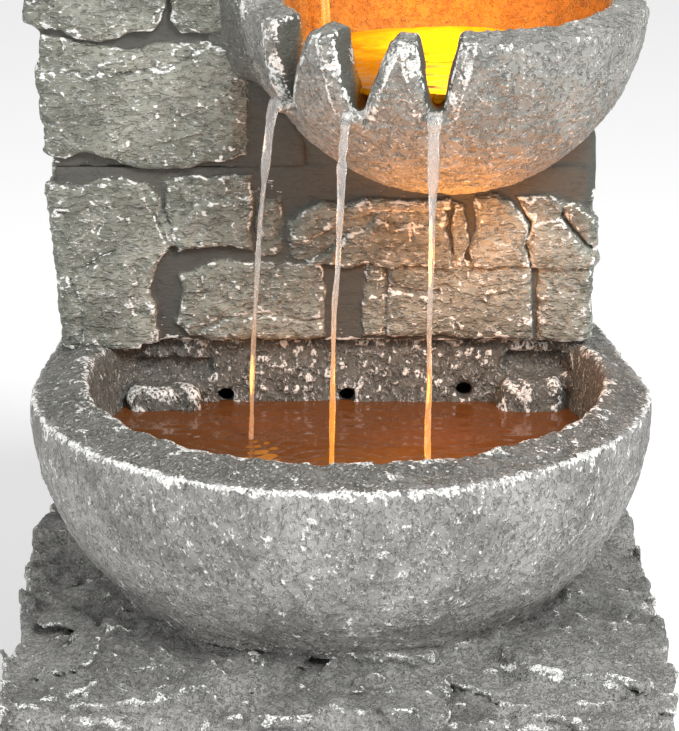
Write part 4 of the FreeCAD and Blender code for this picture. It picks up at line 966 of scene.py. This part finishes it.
ROCK_BOWL = rock_paint("bowl_paint", 0.95, 0.85, 0.85, body=(0.29, 0.285, 0.26, 1),
                       shade=(0.175, 0.175, 0.158, 1), joint_tint=(0.075, 0.077, 0.064, 1))
MID_NOTCHES = [((-64, -61, -44), 417.5), ((-31.5, -36, -17.5), 420.5), ((-5, -10.5, 2.2), 424.5)]
TOP_NOTCHES = [((75, 69, 84), 648.0), ((102, 95, 110), 648.0)]
bowl("middle_bowl_rock", MID_CENTRE, MID_WIDE, 95.0, MID_LOW[2], MID_HIGH[2], MID_NOTCHES, 1.3,
     [clear_of_tower], ["middle_bowl"], 200)
bowl("top_bowl_rock", TOP_CENTRE, TOP_WIDE, 66.0, TOP_LOW[2], TOP_HIGH[2], TOP_NOTCHES, 1.5, [],
     ["top_bowl"], 230)

# ---------------------------------------------------------------- water
# Warm lamps under the surface make the water glow amber. It ripples out from each falling
# stream, and each stream is a thin clear rope that frays slightly as it falls.


def glow_group():
    """Amber water that brightens to yellow near a lamp."""
    tree, given, out = group("lamp_glow", {"Near": (1.0, 0.72, 0.06, 1), "Far": (0.45, 0.12, 0.015, 1),
                                           "Lamp x": 0.0, "Lamp y": 0.0, "Spread": 0.08},
                             {"Color": "Color", "Amount": "Float"})
    where = wire(tree, "TexCoord").outputs["Object"]
    lamp = wire(tree, "CombineXYZ", {0: given["Lamp x"], 1: given["Lamp y"]}).outputs[0]
    flat = wire(tree, "VectorMath", {0: where, 1: (1, 1, 0)}, operation="MULTIPLY").outputs[0]
    away = wire(tree, "VectorMath", {0: flat, 1: lamp}, operation="DISTANCE").outputs["Value"]
    away = sums(tree, "DIVIDE", away, given["Spread"])
    churn = cloud(tree, where, 60.0, 4.0, 1.2)
    away = sums(tree, "ADD", away, sums(tree, "MULTIPLY", sums(tree, "SUBTRACT", churn, 0.5), 0.7))
    amount = band(tree, away, 0.0, 1.0, 1.0, 0.0)
    tree.links.new(blend_colour(tree, amount, given["Far"], given["Near"]), out["Color"])
    tree.links.new(amount, out["Amount"])
    return tree


LAMP_GLOW = glow_group()


WATER_INDEX = 1.33


def lit_water(name, lamp, spread, strength, far, near, shine):
    material, tree, skin = new_paint(name)
    glow = tree.nodes.new("ShaderNodeGroup")
    glow.node_tree = LAMP_GLOW
    glow.inputs["Lamp x"].default_value = lamp[0] * MM
    glow.inputs["Lamp y"].default_value = lamp[1] * MM
    glow.inputs["Spread"].default_value = spread * MM
    glow.inputs["Near"].default_value = near
    glow.inputs["Far"].default_value = far
    tree.links.new(glow.outputs["Color"], skin.inputs["Base Color"])
    tree.links.new(glow.outputs["Color"], skin.inputs["Emission Color"])
    skin.inputs["Emission Strength"].default_value = strength
    skin.inputs["Roughness"].default_value = 0.08
    skin.inputs["IOR"].default_value = WATER_INDEX
    skin.inputs["Specular IOR Level"].default_value = shine
    return material


def pool_surface(name, level, inside, low, high, sources, material, step=1.8):
    """A rippled sheet of water that runs a little way into the rock around it."""
    xs = np.arange(low[0], high[0], step)
    ys = np.arange(low[1], high[1], step)
    x, y = np.meshgrid(xs, ys, indexing="ij")
    rise = 0.5 * lumps(x, y * 1.8, 0 * x, 19, 301) + 0.3 * lumps(x, y * 1.6, 0 * x, 8, 302)
    for sx, sy, power in sources:
        away = np.hypot(x - sx, y - sy)
        rise += power * np.cos(away * 0.62 + 0.5 * lumps(x, y, 0 * x, 20, 303)) * np.exp(-away / 26)
        rise += power * 1.6 * np.exp(-((away - 4.5) / 2.2) ** 2)
    keep = inside(x, y)
    index = -np.ones(x.shape, int)
    whole = keep[:-1, :-1] & keep[1:, :-1] & keep[:-1, 1:] & keep[1:, 1:]
    used = np.zeros(x.shape, bool)
    for di in (0, 1):
        for dj in (0, 1):
            used[di:di + whole.shape[0], dj:dj + whole.shape[1]] |= whole
    index[used] = np.arange(used.sum())
    points = np.stack([x[used], y[used], level + rise[used]], 1) * MM
    i, j = np.nonzero(whole)
    faces = np.stack([index[i, j], index[i + 1, j], index[i + 1, j + 1], index[i, j + 1]], 1)
    thing = smooth_sheet(name, points.tolist(), faces.tolist())
    thick = thing.modifiers.new("depth", "SOLIDIFY")
    thick.thickness = 3 * MM
    thick.offset = -1
    return settle(thing, material, slot="lamp_lens")


BASIN_LANDINGS = ((-53, 12, 0.45), (-5, -49, 0.8), (50, -70, 0.8))
MID_WATER = MID_HIGH[2] - 38
TOP_WATER = TOP_HIGH[2] - 36


def in_basin(x, y):
    return (np.hypot(x - BASIN_CENTRE[0] - 2.5, y - BASIN_CENTRE[1] + 1) < 149) & (y < SCREEN_FRONT + 3)


def in_bowl(centre, reach):
    return lambda x, y: np.hypot(x - centre[0], y - centre[1]) < reach


def bowl_surface(name, centre, level, reach, margin, sources, material):
    """The water in a round bowl, to `reach` from its centre."""
    pool_surface(name, level, in_bowl(centre, reach), (centre[0] - margin, centre[1] - margin),
                 (centre[0] + margin, centre[1] + margin), sources, material)


pool_surface("basin_water", BASIN_WATER, in_basin, (-150, -140), (160, 90), BASIN_LANDINGS,
             lit_water("basin_amber", (35, -70), 105, 0.20, (0.105, 0.038, 0.012, 1),
                       (0.20, 0.07, 0.012, 1), 0.4))
bowl_surface("middle_bowl_water", MID_CENTRE, MID_WATER, 93, 96, ((-8, 66, 0.5), (-6, 100, 0.5)),
             lit_water("bowl_amber", (63, 118), 88, 0.30, (0.33, 0.12, 0.001, 1),
                       (1.0, 0.55, 0.008, 1), 0.08))
bowl_surface("top_bowl_water", TOP_CENTRE, TOP_WATER, 64, 68, ((TOP_CENTRE[0], TOP_CENTRE[1] + 18, 0.8),),
             lit_water("top_amber", (-103, 104), 60, 0.5, (0.40, 0.14, 0.015, 1),
                       (0.9, 0.5, 0.08, 1), 0.15))


def clear_water():
    material, tree, skin = new_paint("falling_water")
    where = wire(tree, "TexCoord").outputs["Object"]
    drawn = wire(tree, "VectorMath", {0: where, 1: (1, 1, 0.12)}, operation="MULTIPLY").outputs[0]
    streak = cloud(tree, drawn, 520.0, 3.0, 0.8)
    glint = band(tree, streak, 0.50, 0.62)
    # Painted lamp glow: the lower part of each stream is tinted amber and made to glow, standing in for the
    # lamp light below.
    warm = wire(tree, "Attribute", attribute_name="warm").outputs["Fac"]
    clear = blend_colour(tree, warm, (0.93, 0.92, 0.90, 1), (0.95, 0.55, 0.18, 1))
    colour = blend_colour(tree, glint, clear, (1, 1, 1, 1))
    dress(tree, skin, colour, band(tree, streak, 0.4, 0.7, 0.02, 0.3), streak, 0.0008, 0.8)
    lit = blend_colour(tree, warm, (0, 0, 0, 1), (0.75, 0.27, 0.02, 1))
    tree.links.new(lit, skin.inputs["Emission Color"])
    skin.inputs["Emission Strength"].default_value = 0.6
    skin.inputs["Transmission Weight"].default_value = 0.85
    skin.inputs["IOR"].default_value = WATER_INDEX
    return material


FALLING = clear_water()


def stream(name, lip, landing, seed, glow_share, around=12, rows=170):
    """A twisting rope of water from a lip to the pool, beading as it speeds up."""
    lip, landing = np.array(lip, float), np.array(landing, float)
    fall = np.linspace(0, 1, rows)
    drop = lip[2] - (lip[2] - landing[2]) * fall
    flat = 0 * drop

    def waver(size, key):
        return lumps(flat + 3.1 * key, flat + seed, drop, size, seed * 7 + key)

    wobble = 1 + 0.28 * waver(17, 1) + 0.16 * waver(6, 2)
    wide = (3.1 - 1.1 * np.minimum(fall * 2.5, 1) + 1.0 * np.exp(-fall * 25)) * wobble
    thin = 0.66 + 0.22 * waver(21, 3)
    spin = 1.5 * waver(55, 4) + fall * 2.0
    path = lip[:2] + (landing[:2] - lip[:2]) * np.sqrt(fall)[:, None]
    path = path + 0.8 * np.stack([waver(30, 5), waver(34, 6)], 1) * np.minimum(fall * 6, 1)[:, None]
    turn = np.linspace(0, 2 * math.pi, around, endpoint=False)[None, :]
    u, v = wide[:, None] * np.cos(turn), (wide * thin)[:, None] * np.sin(turn)
    c, d = np.cos(spin)[:, None], np.sin(spin)[:, None]
    points = np.stack([path[:, :1] + u * c - v * d, path[:, 1:] + u * d + v * c, drop[:, None] + 0 * u], 2)
    ring = np.arange(around)
    faces = []
    for row in range(rows - 1):
        near, after = row * around + ring, row * around + np.roll(ring, -1)
        faces += np.stack([near, near + around, after + around, after], 1).tolist()
    faces += [ring.tolist(), ((rows - 1) * around + ring[::-1]).tolist()]
    thing = smooth_sheet(name, (points.reshape(-1, 3) * MM).tolist(), faces)
    # The painted lamp glow grows towards the foot of the stream.
    mark(thing, warm=np.repeat(step_up(fall, 0.35, 1.0) * glow_share, around))
    return settle(thing, FALLING, slot="lamp_lens")


def lip_of(centre, wide, low, rim, notch, foot):
    """Where a stream leaves its spillway: the outer face of the bowl, just above the cut's foot."""
    radius, height = ball_of(wide, low, rim)
    reach = math.sqrt(radius ** 2 - (height - foot) ** 2) + 3.0
    turn = math.radians(notch[0])
    return centre[0] + reach * math.sin(turn), centre[1] - reach * math.cos(turn), foot + 1.5


for number, ((notch, foot), landing) in enumerate(zip(MID_NOTCHES, BASIN_LANDINGS)):
    stream(f"stream_{number + 1}", lip_of(MID_CENTRE, MID_WIDE, MID_LOW[2], MID_HIGH[2], notch, foot),
           (landing[0], landing[1], BASIN_WATER - 1), number + 1, (0.35, 1.0, 0.75)[number])
for number, ((notch, foot), landing) in enumerate(zip(TOP_NOTCHES, ((-8, 66), (-6, 100)))):
    stream(f"top_stream_{number + 1}", lip_of(TOP_CENTRE, TOP_WIDE, TOP_LOW[2], TOP_HIGH[2], notch, foot),
           (landing[0], landing[1], MID_WATER - 1), number + 11, 0.8)

# ---------------------------------------------------------------- bought-in parts
# Pump, fittings, lamps, wiring, door and feet keep the shape of their solids.


def finish_of(name, colour, roughness, metallic=0.0, scale=900.0, depth=0.00006):
    material, tree, skin = new_paint(name)
    where = wire(tree, "TexCoord").outputs["Object"]
    grain = cloud(tree, where, scale, 4.0)
    smudge = cloud(tree, where, 45.0, 3.0)
    dark = tuple(channel * 0.72 for channel in colour) + (1,)
    shade = blend_colour(tree, band(tree, smudge, 0.35, 0.7), dark, colour + (1,))
    dull = band(tree, grain, 0.3, 0.7, roughness * 0.8, min(roughness * 1.2, 1))
    dress(tree, skin, shade, dull, grain, depth, 0.7)
    skin.inputs["Metallic"].default_value = metallic
    return material


FINISHES = {
    "rubber": finish_of("rubber", (0.025, 0.025, 0.025), 0.7),
    "cable": finish_of("cable_jacket", (0.02, 0.02, 0.02), 0.45),
    "steel": finish_of("stainless", (0.58, 0.57, 0.55), 0.32, 1.0),
    "brass": finish_of("turned_brass", (0.72, 0.52, 0.22), 0.3, 1.0),
    "ceramic": finish_of("ground_ceramic", (0.82, 0.81, 0.78), 0.25),
    "hose": finish_of("hose_rubber", (0.06, 0.06, 0.06), 0.5),
    "circuit_board": finish_of("green_lacquer", (0.03, 0.20, 0.08), 0.35),
    "grey_plastic": finish_of("door_plastic", (0.16, 0.16, 0.15), 0.6, 0.0, 500.0, 0.0002),
    "black_plastic": finish_of("pump_plastic", (0.022, 0.022, 0.025), 0.42),
    "lamp_lens": finish_of("frosted_lens", (0.95, 0.75, 0.4), 0.35),
}
replaced = {"base_block", "lower_basin", "wall_shell", "middle_bowl", "top_bowl"}
slots = {row["node"]: row["material_slot"] for row in frame["record"]["subparts"]}
for name, part in frame["nodes"].items():
    if name in replaced:
        continue
    part.data.materials.clear()
    part.data.materials.append(FINISHES[slots[name]])

# ---------------------------------------------------------------- studio
# A pale floor and backdrop, broad soft lights, and the warm light of the lamps.


def studio_white():
    material, _, skin = new_paint("studio_white")
    skin.inputs["Base Color"].default_value = (0.97, 0.97, 0.97, 1)
    skin.inputs["Roughness"].default_value = 0.9
    return material


floor_mesh = bpy.data.meshes.new("floor")
floor_mesh.from_pydata([(-6, -6, 0), (6, -6, 0), (6, 6, 0), (-6, 6, 0)], [], [(0, 1, 2, 3)])
floor = placed("floor", floor_mesh)
floor_mesh.materials.append(studio_white())

world = bpy.data.worlds.new("studio")
bpy.context.scene.world = world
world.use_nodes = True
world.node_tree.nodes["Background"].inputs[0].default_value = (1, 1, 1, 1)
world.node_tree.nodes["Background"].inputs[1].default_value = 0.72
bpy.context.scene.view_settings.view_transform = "Standard"


def light(name, kind, place, power, colour):
    lamp = placed(name, bpy.data.lights.new(name, kind))
    lamp.data.energy = power
    lamp.data.color = colour
    lamp.location = place
    lamp.visible_camera = False
    return lamp


def softbox(name, place, target, wide, tall, power, colour=(1, 1, 1)):
    lamp = light(name, "AREA", place, power, colour)
    lamp.data.shape = "RECTANGLE"
    lamp.data.size, lamp.data.size_y = wide, tall
    lamp.rotation_euler = (Vector(target) - Vector(place)).to_track_quat("-Z", "Y").to_euler()
    return lamp


softbox("key", (1.0, -1.5, 1.9), (0, 0, 0.4), 0.7, 0.7, 62)
softbox("fill", (-1.6, -1.0, 1.0), (0, 0, 0.4), 1.2, 1.2, 14)


def glow(name, place, power, colour, radius=0.012):
    lamp = light(name, "POINT", [value * MM for value in place], power, colour)
    lamp.data.shadow_soft_size = radius


AMBER = (1.0, 0.36, 0.03)
glow("bowl_lamp_light", (62, 112, MID_WATER + 24), 0.30, (1.0, 0.36, 0.004), 0.02)
glow("basin_left_light", (-45, 40, BASIN_WATER + 30), 0.02, AMBER)
glow("basin_right_light", (60, 20, BASIN_WATER + 30), 0.03, AMBER)
upward = softbox("basin_lamp_beam", (0.035, -0.045, (BASIN_WATER + 6) * MM), (0.075, -0.015, 0.38),
                 0.06, 0.06, 0.16, (1.0, 0.33, 0.02))
upward.data.spread = math.radians(84)
glow("wall_lamp_light", (74, 8, 326), 0.26, (1.0, 0.31, 0.006), 0.02)

# ---------------------------------------------------------------- camera

lens = bpy.data.cameras.new("camera")
lens.sensor_fit = "VERTICAL"
lens.sensor_height = 36
lens.sensor_width = 36
lens.lens = 157.6
camera = placed("camera", lens)
camera.location = (0, -1.77969, 0.85799)
camera.rotation_euler = (math.radians(90 - 18.5), 0, 0)
bpy.context.scene.camera = camera
